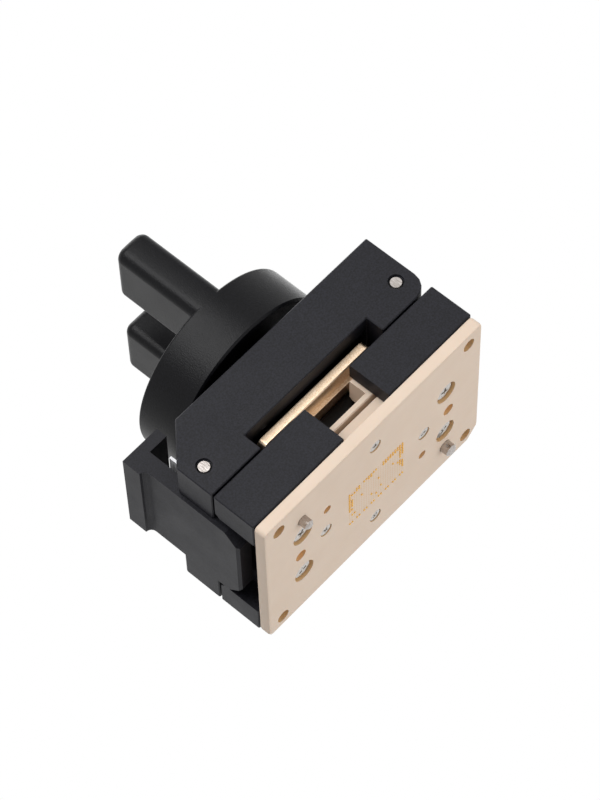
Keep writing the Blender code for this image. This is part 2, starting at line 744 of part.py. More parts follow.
def spring_pockets(low, high):
    radius = NEST_SPRING_RADIUS + NEST_SPRING_WIRE + RUNNING_GAP
    return bores(four(NEST_SCREW_X, NEST_SCREW_Y), radius, low, high, SMALL_SIDES)


def nest(parts, tools):
    """Floating nest: the chip drops into its pocket and the pusher lowers both onto the probes."""
    length = WINDOW_LENGTH - 2 * SLIDING_GAP
    width = WINDOW_WIDTH - 2 * SLIDING_GAP
    plan = rectangle(length, width, WINDOW_CORNER_RADIUS - SLIDING_GAP)
    item = extruded("nest", plan, NEST_BOTTOM, NEST_TOP, parts)
    break_edges(item, EDGE_BREAK)
    floor = NEST_BOTTOM + NEST_FLOOR
    above = NEST_TOP + OVERSHOOT
    pocket = box_shape(
        (PROBE_FIELD_X - CHIP_POCKET_LENGTH / 2, -CHIP_POCKET_WIDTH / 2, floor),
        (PROBE_FIELD_X + CHIP_POCKET_LENGTH / 2, CHIP_POCKET_WIDTH / 2, above),
    )
    combine(item, tool_object("chip_pocket", pocket, tools), "DIFFERENCE")
    combine(item, tool_object("chip_pocket_lead", pocket_lead(), tools), "DIFFERENCE")
    reach = CUTOUT_LENGTH / 2 - NEST_CUTOUT_INSET
    gap = box_shape(
        (CUTOUT_CENTRE_X - reach, -WIDTH, floor), (CUTOUT_CENTRE_X + reach, WIDTH, above)
    )
    combine(item, tool_object("nest_cutouts", gap, tools), "DIFFERENCE")
    below = NEST_BOTTOM - OVERSHOOT
    places = four(NEST_SCREW_X, NEST_SCREW_Y)
    holes = bores(places, NEST_SCREW_RADIUS + RUNNING_GAP, below, above, SMALL_SIDES)
    holes += bores(places, NEST_SCREW_HEAD_RADIUS + RUNNING_GAP, nest_screw_seat(), above, SMALL_SIDES)
    holes += spring_pockets(below, NEST_BOTTOM + NEST_SPRING_POCKET)
    combine(item, tool_object("nest_holes", joined(holes), tools), "DIFFERENCE", True)
    return finish(item, "probe_plate_beige")


def pocket_lead():
    """The sloped lead-in round the mouth of the chip pocket."""
    lead = CHIP_POCKET_LEAD
    shape = bmesh.new()
    bmesh.ops.create_cone(
        shape, cap_ends=True, segments=4, radius1=1, radius2=1, depth=1,
        matrix=Matrix.Rotation(math.pi / 4, 4, "Z"),
    )
    bottom = (CHIP_POCKET_LENGTH, CHIP_POCKET_WIDTH, NEST_TOP - lead)
    spread = 2 * (2 * lead)
    top = (CHIP_POCKET_LENGTH + spread, CHIP_POCKET_WIDTH + spread, NEST_TOP + lead)
    for vert in shape.verts:
        length, width, height = bottom if vert.co.z < 0 else top
        vert.co.x = PROBE_FIELD_X + math.copysign(length / 2, vert.co.x)
        vert.co.y = math.copysign(width / 2, vert.co.y)
        vert.co.z = height
    return shape


def nest_screw_seat():
    return NEST_TOP - NEST_SCREW_HEAD - 2 * EDGE_BREAK


def nest_screw(name, x, y, parts):
    """Shoulder screw that lets the nest float and stops it at the top."""
    seat = nest_screw_seat() + RUNNING_GAP
    profile = [
        (0, seat + NEST_SCREW_HEAD),
        (NEST_SCREW_HEAD_RADIUS, seat + NEST_SCREW_HEAD),
        (NEST_SCREW_HEAD_RADIUS, seat),
        (NEST_SCREW_RADIUS, seat),
        (NEST_SCREW_RADIUS, GUIDE_TOP - NEST_SCREW_ROOT),
        (0, GUIDE_TOP - NEST_SCREW_ROOT),
    ]
    screw = turned(name, profile, parts, SMALL_SIDES)
    screw.location = (x, y, 0)
    return finish(screw, "steel")


def nest_spring(name, x, y, parts):
    """Spring under the nest, drawn as short as the pressed nest makes it."""
    low = GUIDE_TOP - NEST_SPRING_POCKET + SEAT_GAP
    high = NEST_BOTTOM + NEST_SPRING_POCKET - NEST_FLOAT - SEAT_GAP
    spring = coil(name, NEST_SPRING_RADIUS, NEST_SPRING_WIRE, high - low, NEST_SPRING_TURNS, parts)
    spring.location = (x, y, low)
    return finish(spring, "spring_steel")


def lid(parts, tools):
    """Black lid: a channel for the pressure plate, a fork for the latch and one for the hinge."""
    x, y = LENGTH / 2, WIDTH / 2
    channel = CHANNEL_LENGTH / 2
    side = outline(
        [
            (-x, LID_BOTTOM, 0),
            (-channel, LID_BOTTOM, 0),
            (-channel, CHANNEL_TOP, 0),
            (channel, CHANNEL_TOP, 0),
            (channel, LID_BOTTOM, 0),
            (x, LID_BOTTOM, LID_HINGE_CORNER),
            (x, LID_TOP, 0),
            (-x + LID_CHAMFER, LID_TOP, 0),
            (-x, LID_TOP - LID_CHAMFER, 0),
        ]
    )
    item = extruded("lid", side, -y, y, parts, SIDE_ON)
    break_edges(item, EDGE_BREAK)
    below, above = LID_BOTTOM - OVERSHOOT, LID_TOP + OVERSHOOT
    latch_half = LATCH_SLOT_WIDTH / 2
    hinge_half = KNUCKLE_WIDTH / 2 + SLIDING_GAP
    hinge_floor = HINGE_X - KNUCKLE_RADIUS - HINGE_SLOT_CLEARANCE
    relief_half = latch_half - SEAT_GAP
    relief = cylinder_shape(LUG_RADIUS + SLIDING_GAP, -relief_half, relief_half, PIN_SIDES, ALONG_Y)
    slots = [
        box_shape((-2 * x, -latch_half, below), (latch_slot_floor(), latch_half, above)),
        moved(relief, LATCH_X, 0, PIN_Z),
        box_shape((hinge_floor, -hinge_half, below), (2 * x, hinge_half, above)),
        box_shape(
            (-CAVITY_LENGTH / 2, -CAVITY_WIDTH / 2, below),
            (CAVITY_LENGTH / 2, CAVITY_WIDTH / 2, CAVITY_TOP),
        ),
    ]
    combine(item, tool_object("lid_slots", joined(slots), tools), "DIFFERENCE", True)
    holes = [cylinder_shape(STEM_RADIUS + RUNNING_GAP, below, above, FINE_SIDES)]
    for pin_x in (HINGE_X, LATCH_X):
        through = cylinder_shape(PIN_RADIUS + SEAT_GAP, -2 * y, 2 * y, PIN_SIDES, ALONG_Y)
        holes.append(moved(through, pin_x, 0, PIN_Z))
        for low, high in ((-2 * y, -y + PIN_RECESS), (y - PIN_RECESS, 2 * y)):
            mouth = cylinder_shape(PIN_RECESS_RADIUS, low, high, PIN_SIDES, ALONG_Y)
            holes.append(moved(mouth, pin_x, 0, PIN_Z))
    for pin_x, pin_y in plate_guide_places():
        low, high = CHANNEL_TOP, CAVITY_TOP + GUIDE_PIN_DEPTH
        socket = cylinder_shape(GUIDE_PIN_RADIUS + SEAT_GAP, low, high, SMALL_SIDES)
        holes.append(moved(socket, pin_x, pin_y))
    combine(item, tool_object("lid_holes", joined(holes), tools), "DIFFERENCE", True)
    return finish(item, "black_anodised")


def latch_slot_floor():
    return -LENGTH / 2 + LATCH_SLOT_DEPTH


def plate_guide_places():
    return [(GUIDE_PIN_X, GUIDE_PIN_Y), (-GUIDE_PIN_X, -GUIDE_PIN_Y)]


def cross_pin(name, x, parts):
    """Ground pin across the lid, sunk a little below both faces."""
    half = WIDTH / 2 - PIN_RECESS / 2
    edge = EDGE_BREAK
    profile = [
        (0, half),
        (PIN_RADIUS - edge, half),
        (PIN_RADIUS, half - edge),
        (PIN_RADIUS, -half + edge),
        (PIN_RADIUS - edge, -half),
        (0, -half),
    ]
    pin = turned(name, profile, parts, PIN_SIDES, ALONG_Y)
    pin.location = (x, 0, PIN_Z)
    return finish(pin, "steel")


def latch(parts, tools):
    """Sprung lever: a thumb pad and tab above the lid, a lug on the pin and a hook in the body."""
    face = -LENGTH / 2 - LATCH_PROUD
    back = face + LATCH_THICKNESS
    pad = face - PAD_PROUD
    top = LID_TOP + LATCH_TOP
    hook_top = BODY_TOP - LEDGE_HEIGHT - 2 * RUNNING_GAP
    hook_tip = -LENGTH / 2 + POCKET_DEPTH - HOOK_CLEARANCE
    bottom = hook_top - HOOK_HEIGHT
    side = outline(
        [
            (pad, top, 0),
            (pad, top - PAD_HEIGHT, 0),
            (face, top - PAD_HEIGHT, PAD_PROUD - TANGENT_FLAT),
            (face, bottom + LATCH_FOOT, 0),
            (face + LATCH_FOOT, bottom, 0),
            (back, bottom, 0),
            (hook_tip, bottom + HOOK_RAMP, 0),
            (hook_tip, hook_top, 0),
            (back, hook_top, 0),
            (back, top - TAB_THICKNESS, 0),
            (face + TAB_REACH, top - TAB_THICKNESS, 0),
            (face + TAB_REACH, top, 0),
        ]
    )
    half = LATCH_WIDTH / 2
    item = extruded("latch", side, -half, half, parts, SIDE_ON)
    break_edges(item, LATCH_EDGE)
    lug_half = half - LUG_SIDE_GAP
    lug = cylinder_shape(LUG_RADIUS, -lug_half, lug_half, PIN_SIDES, ALONG_Y)
    combine(item, tool_object("latch_lug", moved(lug, LATCH_X, 0, PIN_Z), tools), "UNION")
    corner = LATCH_CORNER_CUT
    inward = corner * (math.sqrt(0.5) - 0.5)
    cuts = []
    for side_y in (-half, half):
        cut = box_shape((2 * pad, -corner, -corner), (0, corner, corner))
        bmesh.ops.rotate(cut, cent=(0, 0, 0), matrix=Matrix.Rotation(math.pi / 4, 3, "X"), verts=cut.verts)
        cuts.append(moved(cut, 0, side_y + math.copysign(inward, side_y), bottom - inward))
    combine(item, tool_object("latch_corners", joined(cuts), tools), "DIFFERENCE")
    hole = cylinder_shape(PIN_RADIUS + RUNNING_GAP, -WIDTH, WIDTH, PIN_SIDES, ALONG_Y)
    combine(item, tool_object("latch_hole", moved(hole, LATCH_X, 0, PIN_Z), tools), "DIFFERENCE")
    return finish(item, "black_anodised")


def latch_spring(parts, tools):
    """Leaf spring on the floor of the latch's slot: its bowed tongue pushes the pad end outward."""
    back = latch_slot_floor() - SEAT_GAP
    front = back - LEAF_THICKNESS
    top = LID_TOP - LEAF_DROP
    bottom = PIN_Z + LUG_RADIUS + LEAF_FOOT_GAP
    item_side = outline([(front, bottom, 0), (back, bottom, 0), (back, top, 0), (front, top, 0)])
    half = LEAF_WIDTH / 2
    item = extruded("latch_spring", item_side, -half, half, parts, SIDE_ON)
    inset = 2 * LEAF_THICKNESS
    foot, head, middle = bottom + inset, top - inset, (bottom + top) / 2
    crest = front - LEAF_BOW
    bow = outline(
        [
            (back - LEAF_THICKNESS / 2, foot, 0),
            (back - LEAF_THICKNESS / 2, head, 0),
            (front, head, 0),
            (crest, middle, LEAF_BOW_RADIUS),
            (front, foot, 0),
        ]
    )
    half = LEAF_TONGUE_WIDTH / 2
    combine(item, hidden(extruded("leaf_tongue", bow, -half, half, tools, SIDE_ON)), "UNION")
    return finish(item, "spring_steel")


def pressure_plate(parts, tools):
    """Brass plate that rides in the lid's channel, with a step down to the pusher."""
    flange = rectangle(PRESS_LENGTH, PRESS_WIDTH, PRESS_CORNER_RADIUS)
    item = extruded("pressure_plate", flange, PRESS_BOTTOM, PRESS_TOP, parts)
    break_edges(item, EDGE_BREAK)
    step = rectangle(STEP_LENGTH, STEP_WIDTH, PRESS_CORNER_RADIUS)
    raised = extruded("plate_step", step, STEP_BOTTOM, PRESS_BOTTOM + PRESS_THICKNESS / 2, tools)
    combine(item, hidden(raised), "UNION")
    holes = [cylinder_shape(SHOULDER_RADIUS + RUNNING_GAP, 0, LID_TOP, HOLE_SIDES)]
    for x, y in plate_guide_places():
        guide = cylinder_shape(GUIDE_PIN_RADIUS + RUNNING_GAP, 0, LID_TOP, SMALL_SIDES)
        holes.append(moved(guide, x, y))
    combine(item, tool_object("plate_holes", joined(holes), tools), "DIFFERENCE")
    return finish(item, "brass")


def plate_guide_pin(name, x, y, parts):
    """Pin in the lid that keeps the pressure plate from turning with the knob."""
    low = PRESS_BOTTOM + PRESS_THICKNESS - PRESS_DROP - 2 * EDGE_BREAK
    high = CHANNEL_TOP + GUIDE_PIN_DEPTH - SEAT_GAP
    profile = [(0, high), (GUIDE_PIN_RADIUS, high), (GUIDE_PIN_RADIUS, low), (0, low)]
    pin = turned(name, profile, parts, SMALL_SIDES)
    pin.location = (x, y, 0)
    return finish(pin, "steel")


def pusher_block(parts, tools):
    """Black block under the plate that reaches into the nest and presses on the chip."""
    low = STEP_BOTTOM - SEAT_GAP - PUSHER_HEIGHT
    high = STEP_BOTTOM - SEAT_GAP
    plan = rectangle(
        CHIP_POCKET_LENGTH - 2 * PUSHER_END_GAP,
        CHIP_POCKET_WIDTH - 2 * PUSHER_SIDE_GAP,
        PRESS_CORNER_RADIUS,
        PROBE_FIELD_X,
    )
    item = extruded("pusher_block", plan, low, high, parts)
    break_edges(item, EDGE_BREAK)
    sink = SHOULDER_HEAD_RADIUS + SLIDING_GAP
    room = cylinder_shape(sink, high - SHOULDER_HEAD - 2 * RUNNING_GAP, high + PUSHER_HEIGHT, HOLE_SIDES)
    combine(item, tool_object("pusher_sink", room, tools), "DIFFERENCE")
    return finish(item, "black_anodised")


def shoulder_screw(parts):
    """Screw from below that hangs the plate on the stem and lets the stem turn over it."""
    seat = STEP_BOTTOM - SEAT_GAP
    profile = [
        (0, STEM_BOTTOM + SHOULDER_ROOT),
        (SHOULDER_RADIUS, STEM_BOTTOM + SHOULDER_ROOT),
        (SHOULDER_RADIUS, seat),
        (SHOULDER_HEAD_RADIUS, seat),
        (SHOULDER_HEAD_RADIUS, seat - SHOULDER_HEAD),
        (0, seat - SHOULDER_HEAD),
    ]
    screw = turned("shoulder_screw", profile, parts, HOLE_SIDES)
    return finish(screw, "steel")


def thrust_washer(parts):
    """Hard washer between the turning stem and the plate."""
    low = PRESS_TOP + SEAT_GAP
    high = low + WASHER_THICKNESS
    hole = SHOULDER_RADIUS + RUNNING_GAP
    profile = [(hole, high), (WASHER_RADIUS, high), (WASHER_RADIUS, low), (hole, low), (hole, high)]
    washer = turned("thrust_washer", profile, parts, PIN_SIDES)
    return finish(washer, "steel")


def knob_stem(parts, tools):
    """Screw that runs in the lid's thread, with a neck up into the knob."""
    neck_top = KNOB_BOTTOM + STEM_NECK_HEIGHT
    shoulder = KNOB_BOTTOM - SEAT_GAP
    profile = [
        (0, neck_top),
        (STEM_NECK_RADIUS, neck_top),
        (STEM_NECK_RADIUS, shoulder),
        (STEM_RADIUS - EDGE_BREAK, shoulder),
        (STEM_RADIUS, shoulder - EDGE_BREAK),
        (STEM_RADIUS, STEM_BOTTOM + EDGE_BREAK),
        (STEM_RADIUS - EDGE_BREAK, STEM_BOTTOM),
        (0, STEM_BOTTOM),
    ]
    stem = turned("knob_stem", profile, parts, FINE_SIDES)
    depth = STEM_BOTTOM + SHOULDER_ROOT + SEAT_GAP
    holes = [
        cylinder_shape(SHOULDER_RADIUS + SEAT_GAP, 0, depth, HOLE_SIDES),
        cylinder_shape(KNOB_SCREW_RADIUS + SEAT_GAP, knob_screw_end() - SEAT_GAP, WING_TOP, SMALL_SIDES),
    ]
    combine(stem, tool_object("stem_holes", joined(holes), tools), "DIFFERENCE", True)
    return finish(stem, "steel")


def knob_screw_seat():
    return KNOB_BOTTOM + STEM_NECK_HEIGHT + KNOB_SCREW_WEB


def knob_screw_end():
    return knob_screw_seat() - KNOB_SCREW_LENGTH


def knob_screw(parts, tools):
    """Socket-head screw down the middle of the knob."""
    seat = knob_screw_seat() + SEAT_GAP
    head_top = seat + KNOB_SCREW_HEAD
    profile = [
        (0, head_top),
        (KNOB_SCREW_HEAD_RADIUS - EDGE_BREAK, head_top),
        (KNOB_SCREW_HEAD_RADIUS, head_top - EDGE_BREAK),
        (KNOB_SCREW_HEAD_RADIUS, seat),
        (KNOB_SCREW_RADIUS, seat),
        (KNOB_SCREW_RADIUS, knob_screw_end()),
        (0, knob_screw_end()),
    ]
    screw = turned("knob_screw", profile, parts, HOLE_SIDES)
    socket = cylinder_shape(KNOB_SCREW_SOCKET, head_top - KNOB_SCREW_HEAD / 2, WING_TOP, HEXAGON)
    combine(screw, tool_object("knob_screw_socket", socket, tools), "DIFFERENCE")
    return finish(screw, "steel")


def wing_outline(side):
    """Plan of one wing: its outer end follows the disk, and all its corners are rounded."""
    half = WING_WIDTH / 2
    reach = KNOB_RADIUS - WING_INSET
    inner = [(half, WING_INNER, WING_CORNER_RADIUS), (-half, WING_INNER, WING_CORNER_RADIUS)]
    corner_y = math.sqrt(reach**2 - half**2)
    crown_half = half - WING_CORNER_RADIUS
    crown_y = math.sqrt(reach**2 - crown_half**2)
    left = corner_arc((-half, WING_INNER), (-half, corner_y), (-crown_half, crown_y), WING_CORNER_RADIUS)
    right = corner_arc((crown_half, crown_y), (half, corner_y), (half, WING_INNER), WING_CORNER_RADIUS)
    middle_angle = math.asin(crown_half / reach)
    steps = range(1, CORNER_STEPS)
    crown = [
        Vector((reach * math.sin(a), reach * math.cos(a)))
        for a in (-middle_angle + 2 * middle_angle * i / CORNER_STEPS for i in steps)
    ]
    inner_left = corner_arc((half, WING_INNER), inner[1][:2], (-half, corner_y), inner[1][2])
    inner_right = corner_arc((half, corner_y), inner[0][:2], (-half, WING_INNER), inner[0][2])
    points = inner_left + left + crown + right + inner_right
    return [side * point for point in points]


def wing(name, side, tools):
    item = extruded(name, wing_outline(side), DISK_TOP - WING_ROOT, WING_TOP, tools)
    shape = bmesh.new()
    shape.from_mesh(item.data)
    rim = [e for e in shape.edges if all(abs(v.co.z - WING_TOP) < 0.01 * MM for v in e.verts)]
    rim = [e for e in rim if len({round(f.normal.z, 2) for f in e.link_faces}) > 1]
    bmesh.ops.bevel(
        shape,
        geom=rim,
        offset=WING_TOP_RADIUS,
        affect="EDGES",
        segments=WING_TOP_STEPS,
        profile=0.5,
        material=-1,
    )
    bmesh.ops.recalc_face_normals(shape, faces=shape.faces)
    shape.to_mesh(item.data)
    shape.free()
    return hidden(item)


def knob(parts, tools):
    """Round knob with two upright wings whose outer ends run on from its rim."""
    rim_steps = range(CORNER_STEPS + 1)
    rim = [
        (
            KNOB_RADIUS - KNOB_RIM_RADIUS * (1 - math.sin(math.pi / 2 * i / CORNER_STEPS)),
            DISK_TOP - KNOB_RIM_RADIUS * (1 - math.cos(math.pi / 2 * i / CORNER_STEPS)),
        )
        for i in rim_steps
    ]
    foot = [
        (KNOB_RADIUS, KNOB_BOTTOM + KNOB_FOOT_CHAMFER),
        (KNOB_RADIUS - KNOB_FOOT_CHAMFER, KNOB_BOTTOM),
        (0, KNOB_BOTTOM),
    ]
    item = turned("knob", [(0, DISK_TOP)] + rim + foot, parts, FINE_SIDES)
    combine(item, wing("wing_far", 1, tools), "UNION")
    combine(item, wing("wing_near", -1, tools), "UNION")
    holes = [
        cylinder_shape(
            STEM_NECK_RADIUS + SEAT_GAP, 0, KNOB_BOTTOM + STEM_NECK_HEIGHT + SEAT_GAP, FINE_SIDES
        ),
        cylinder_shape(KNOB_SCREW_RADIUS + SEAT_GAP, 0, WING_TOP, SMALL_SIDES),
        cylinder_shape(
            KNOB_SCREW_HEAD_RADIUS + RUNNING_GAP, knob_screw_seat(), WING_TOP, HOLE_SIDES
        ),
    ]
    combine(item, tool_object("knob_holes", joined(holes), tools), "DIFFERENCE", True)
    return finish(item, "black_knob")


def numbered(name, places, maker, parts):
    for number, (x, y) in enumerate(places, 1):
        maker(name + "_" + str(number), x, y, parts)


def axis(name, place, children, parts, carrier=None):
    """An empty on a joint's axis that carries the pieces that move with it."""
    empty = bpy.data.objects.new(name, None)
    empty.location = place
    parts.objects.link(empty)
    bpy.context.view_layer.update()
    for child in [bpy.data.objects[child] for child in children]:
        child.parent = empty
        child.matrix_parent_inverse = empty.matrix_world.inverted()
    if carrier:
        empty.parent = carrier
        empty.matrix_parent_inverse = carrier.matrix_world.inverted()
        bpy.context.view_layer.update()
    return empty


def joint_axes(parts):
    lid_pieces = ["lid", "latch_pin", "latch_spring", "plate_guide_pin_1", "plate_guide_pin_2"]
    press_pieces = ["pressure_plate", "pusher_block", "shoulder_screw", "thrust_washer"]
    hinge = axis("lid_hinge_axis", (HINGE_X, 0, PIN_Z), lid_pieces, parts)
    axis("latch_axis", (LATCH_X, 0, PIN_Z), ["latch"], parts, hinge)
    press = axis("press_axis", (0, 0, PRESS_TOP), press_pieces, parts, hinge)
    axis("knob_axis", (0, 0, KNOB_BOTTOM), ["knob", "knob_stem", "knob_screw"], parts, press)
    axis("nest_axis", (0, 0, NEST_BOTTOM), ["nest"], parts)


def build():
    clear_scene()
    parts = make_collection("bga_test_socket")
    tools = make_collection("cutters")
    base_plate(parts, tools)
    socket_body(parts, tools)
    pin_guide_block(parts, tools)
    nest(parts, tools)
    lid(parts, tools)
    latch(parts, tools)
    cross_pin("hinge_pin", HINGE_X, parts)
    cross_pin("latch_pin", LATCH_X, parts)
    latch_spring(parts, tools)
    pressure_plate(parts, tools)
    pusher_block(parts, tools)
    shoulder_screw(parts)
    thrust_washer(parts)
    knob_stem(parts, tools)
    knob(parts, tools)
    knob_screw(parts, tools)
    dowel_pin("dowel_pin_hinge_side", DOWEL_RADIUS_HINGE_SIDE, DOWEL_X, DOWEL_Y, parts)
    dowel_pin("dowel_pin_latch_side", DOWEL_RADIUS_LATCH_SIDE, -DOWEL_X, -DOWEL_Y, parts)
    numbered("body_screw", four(BODY_SCREW_X, BODY_SCREW_Y), body_screw, parts)
    numbered("guide_screw", cross(GUIDE_SCREW_X, GUIDE_SCREW_Y), guide_screw, parts)
    numbered("nest_screw", four(NEST_SCREW_X, NEST_SCREW_Y), nest_screw, parts)
    numbered("nest_spring", four(NEST_SCREW_X, NEST_SCREW_Y), nest_spring, parts)
    numbered("plate_guide_pin", plate_guide_places(), plate_guide_pin, parts)
    joint_axes(parts)


build()
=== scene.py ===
import json
import math

import bmesh
import bpy
from mathutils import Matrix, Vector


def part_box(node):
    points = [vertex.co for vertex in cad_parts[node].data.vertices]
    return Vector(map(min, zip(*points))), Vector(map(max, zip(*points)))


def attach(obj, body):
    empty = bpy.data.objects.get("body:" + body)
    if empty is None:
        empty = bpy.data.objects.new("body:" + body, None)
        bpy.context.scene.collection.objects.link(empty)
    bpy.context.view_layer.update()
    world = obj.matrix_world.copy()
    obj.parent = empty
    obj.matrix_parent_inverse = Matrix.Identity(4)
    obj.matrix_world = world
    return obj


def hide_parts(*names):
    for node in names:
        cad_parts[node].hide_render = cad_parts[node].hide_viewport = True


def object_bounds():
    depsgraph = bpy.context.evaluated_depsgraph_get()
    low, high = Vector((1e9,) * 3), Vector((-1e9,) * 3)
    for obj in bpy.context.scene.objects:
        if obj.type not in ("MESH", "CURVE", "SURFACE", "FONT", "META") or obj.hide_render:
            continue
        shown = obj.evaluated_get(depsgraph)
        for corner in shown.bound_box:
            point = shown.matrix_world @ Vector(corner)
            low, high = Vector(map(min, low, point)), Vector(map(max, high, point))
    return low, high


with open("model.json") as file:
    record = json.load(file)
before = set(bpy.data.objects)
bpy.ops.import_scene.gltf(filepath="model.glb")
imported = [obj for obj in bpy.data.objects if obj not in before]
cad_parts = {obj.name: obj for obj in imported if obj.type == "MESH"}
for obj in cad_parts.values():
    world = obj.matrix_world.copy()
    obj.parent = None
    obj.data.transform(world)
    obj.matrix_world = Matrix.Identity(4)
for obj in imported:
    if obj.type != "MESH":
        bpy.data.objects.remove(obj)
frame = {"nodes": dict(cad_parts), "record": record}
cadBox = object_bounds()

mm = 0.001
weld = 0.0005 * mm   # vertices nearer than this are made one
tiny = 1e-7          # heights nearer than this, in metres, count as the same
nodes = frame["nodes"]
record = frame["record"]
bodyOf = {name: body for body, names in record["behaviour"]["bodies"].items() for name in names}
slotOf = {part["node"]: part["material_slot"] for part in record["subparts"]}
print("frame loaded:", len(nodes), "nodes")


def linear(hexColour):
    values = [int(hexColour[i:i + 2], 16) / 255 for i in (1, 3, 5)]
    return tuple(v / 12.92 if v <= 0.04045 else ((v + 0.055) / 1.055) ** 2.4 for v in values) + (1.0,)


def addNode(tree, kind, settings=None, links=None):
    node = tree.nodes.new(kind)
    for key, value in (settings or {}).items():
        if isinstance(key, str) and hasattr(node, key):
            setattr(node, key, value)
        else:
            node.inputs[key].default_value = value
    for key, (source, output) in (links or {}).items():
        tree.links.new(source.outputs[output], node.inputs[key])
    return node


def startMaterial(name, sockets):
    material = bpy.data.materials.new(name)
    material.use_nodes = True
    tree = material.node_tree
    shader = tree.nodes["Principled BSDF"]
    for key, value in sockets.items():
        shader.inputs[key].default_value = value
    return material, tree, shader


# A noise texture seldom leaves these limits, so they take up the whole change of colour or gloss
noiseSpread = {"From Min": 0.3, "From Max": 0.7}
grainSpread = {"From Min": 0.35, "From Max": 0.65}

# Black anodised aluminium: bead-blasted before it is dyed, so it is a fine-grained, soft grey-black. The real
# grain, usually under 0.1 mm, is too fine to show, so it is drawn as coarse as it needs to show here and below
anodised = {
    "dark": "#0c0c10", "light": "#1c1c23", "roughness": (0.46, 0.53), "specular": 0.21,
    "grainMm": 0.26, "cloudMm": 5.0, "grainDepthMm": 0.02, "relief": 0.5,
}


def blackFinish(name, look):
    material, tree, shader = startMaterial(name, {"Specular IOR Level": look["specular"]})
    coords = addNode(tree, "ShaderNodeTexCoord")
    grain = addNode(tree, "ShaderNodeTexNoise", {"Scale": 1 / (look["grainMm"] * mm), "Detail": 4.0},
                    {"Vector": (coords, "Object")})
    cloud = addNode(tree, "ShaderNodeTexNoise", {"Scale": 1 / (look["cloudMm"] * mm), "Detail": 2.0},
                    {"Vector": (coords, "Object")})
    spread = addNode(tree, "ShaderNodeMapRange", grainSpread, {"Value": (grain, "Fac")})
    tone = addNode(tree, "ShaderNodeMix",
                   {"data_type": "RGBA", "A": linear(look["dark"]), "B": linear(look["light"])},
                   {"Factor": (spread, "Result")})
    rough = addNode(tree, "ShaderNodeMapRange",
                    {**noiseSpread, "To Min": look["roughness"][0], "To Max": look["roughness"][1]},
                    {"Value": (cloud, "Fac")})
    relief = addNode(tree, "ShaderNodeBump",
                     {"Strength": look["relief"], "Distance": look["grainDepthMm"] * mm},
                     {"Height": (grain, "Fac")})
    tree.links.new(tone.outputs["Result"], shader.inputs["Base Color"])
    tree.links.new(rough.outputs["Result"], shader.inputs["Roughness"])
    tree.links.new(relief.outputs["Normal"], shader.inputs["Normal"])
    return material


# Black acetal: turned and then vapour-blasted, so light spreads over it in a speckled satin band
acetal = {
    "dark": "#020203", "light": "#0c0c10", "roughness": (0.31, 0.37), "specular": 0.15,
    "grainMm": 0.2, "cloudMm": 6.0, "grainDepthMm": 0.045, "relief": 0.9,
}

# Black pusher: smooth moulded polymer, so it stays near black in its pocket
moulded = {
    "dark": "#060403", "light": "#0d0906", "roughness": (0.3, 0.4), "specular": 0.08,
    "grainMm": 0.4, "cloudMm": 4.0, "grainDepthMm": 0.002, "relief": 0.2,
}

# Natural PEEK: milled from plate, opaque beige with faint cutter lines along its length, drawn coarser than
# a finishing cutter leaves them, to show
peek = {
    "dark": "#d6c1ad", "light": "#dfccba", "roughness": (0.5, 0.62), "specular": 0.4, "cloudMm": 5.0,
    "millingMm": 0.35, "stretch": (0.04, 1.0, 1.0), "millingDepthMm": 0.006, "relief": 0.3,
    "subsurface": 0.12, "depthMm": 0.6, "colourDepth": (1.0, 0.62, 0.4),
}

# The probe holes: hole is the colour painted for the shade and glow inside a hole, dotEdge is where a dot
# fades out, and faceMm how near the board face a point has to be
probeField = {
    "pitchMm": 0.5, "columns": 23, "rows": 17, "centreMm": (0.08, 0.66), "faceMm": 0.05,
    "hole": "#d0a468", "dotShare": 0.45, "dotEdge": (0.22, 0.34),
}
# Painted glow inside the bores: its amber colour, the box that holds the bores, and how much of that colour is
# mixed in
paintedBoreGlow = {"colour": "#e8bf85", "fromMm": (-21.4, -13.6, 0.06), "toMm": (21.4, 13.6, 1.7), "share": 0.85}


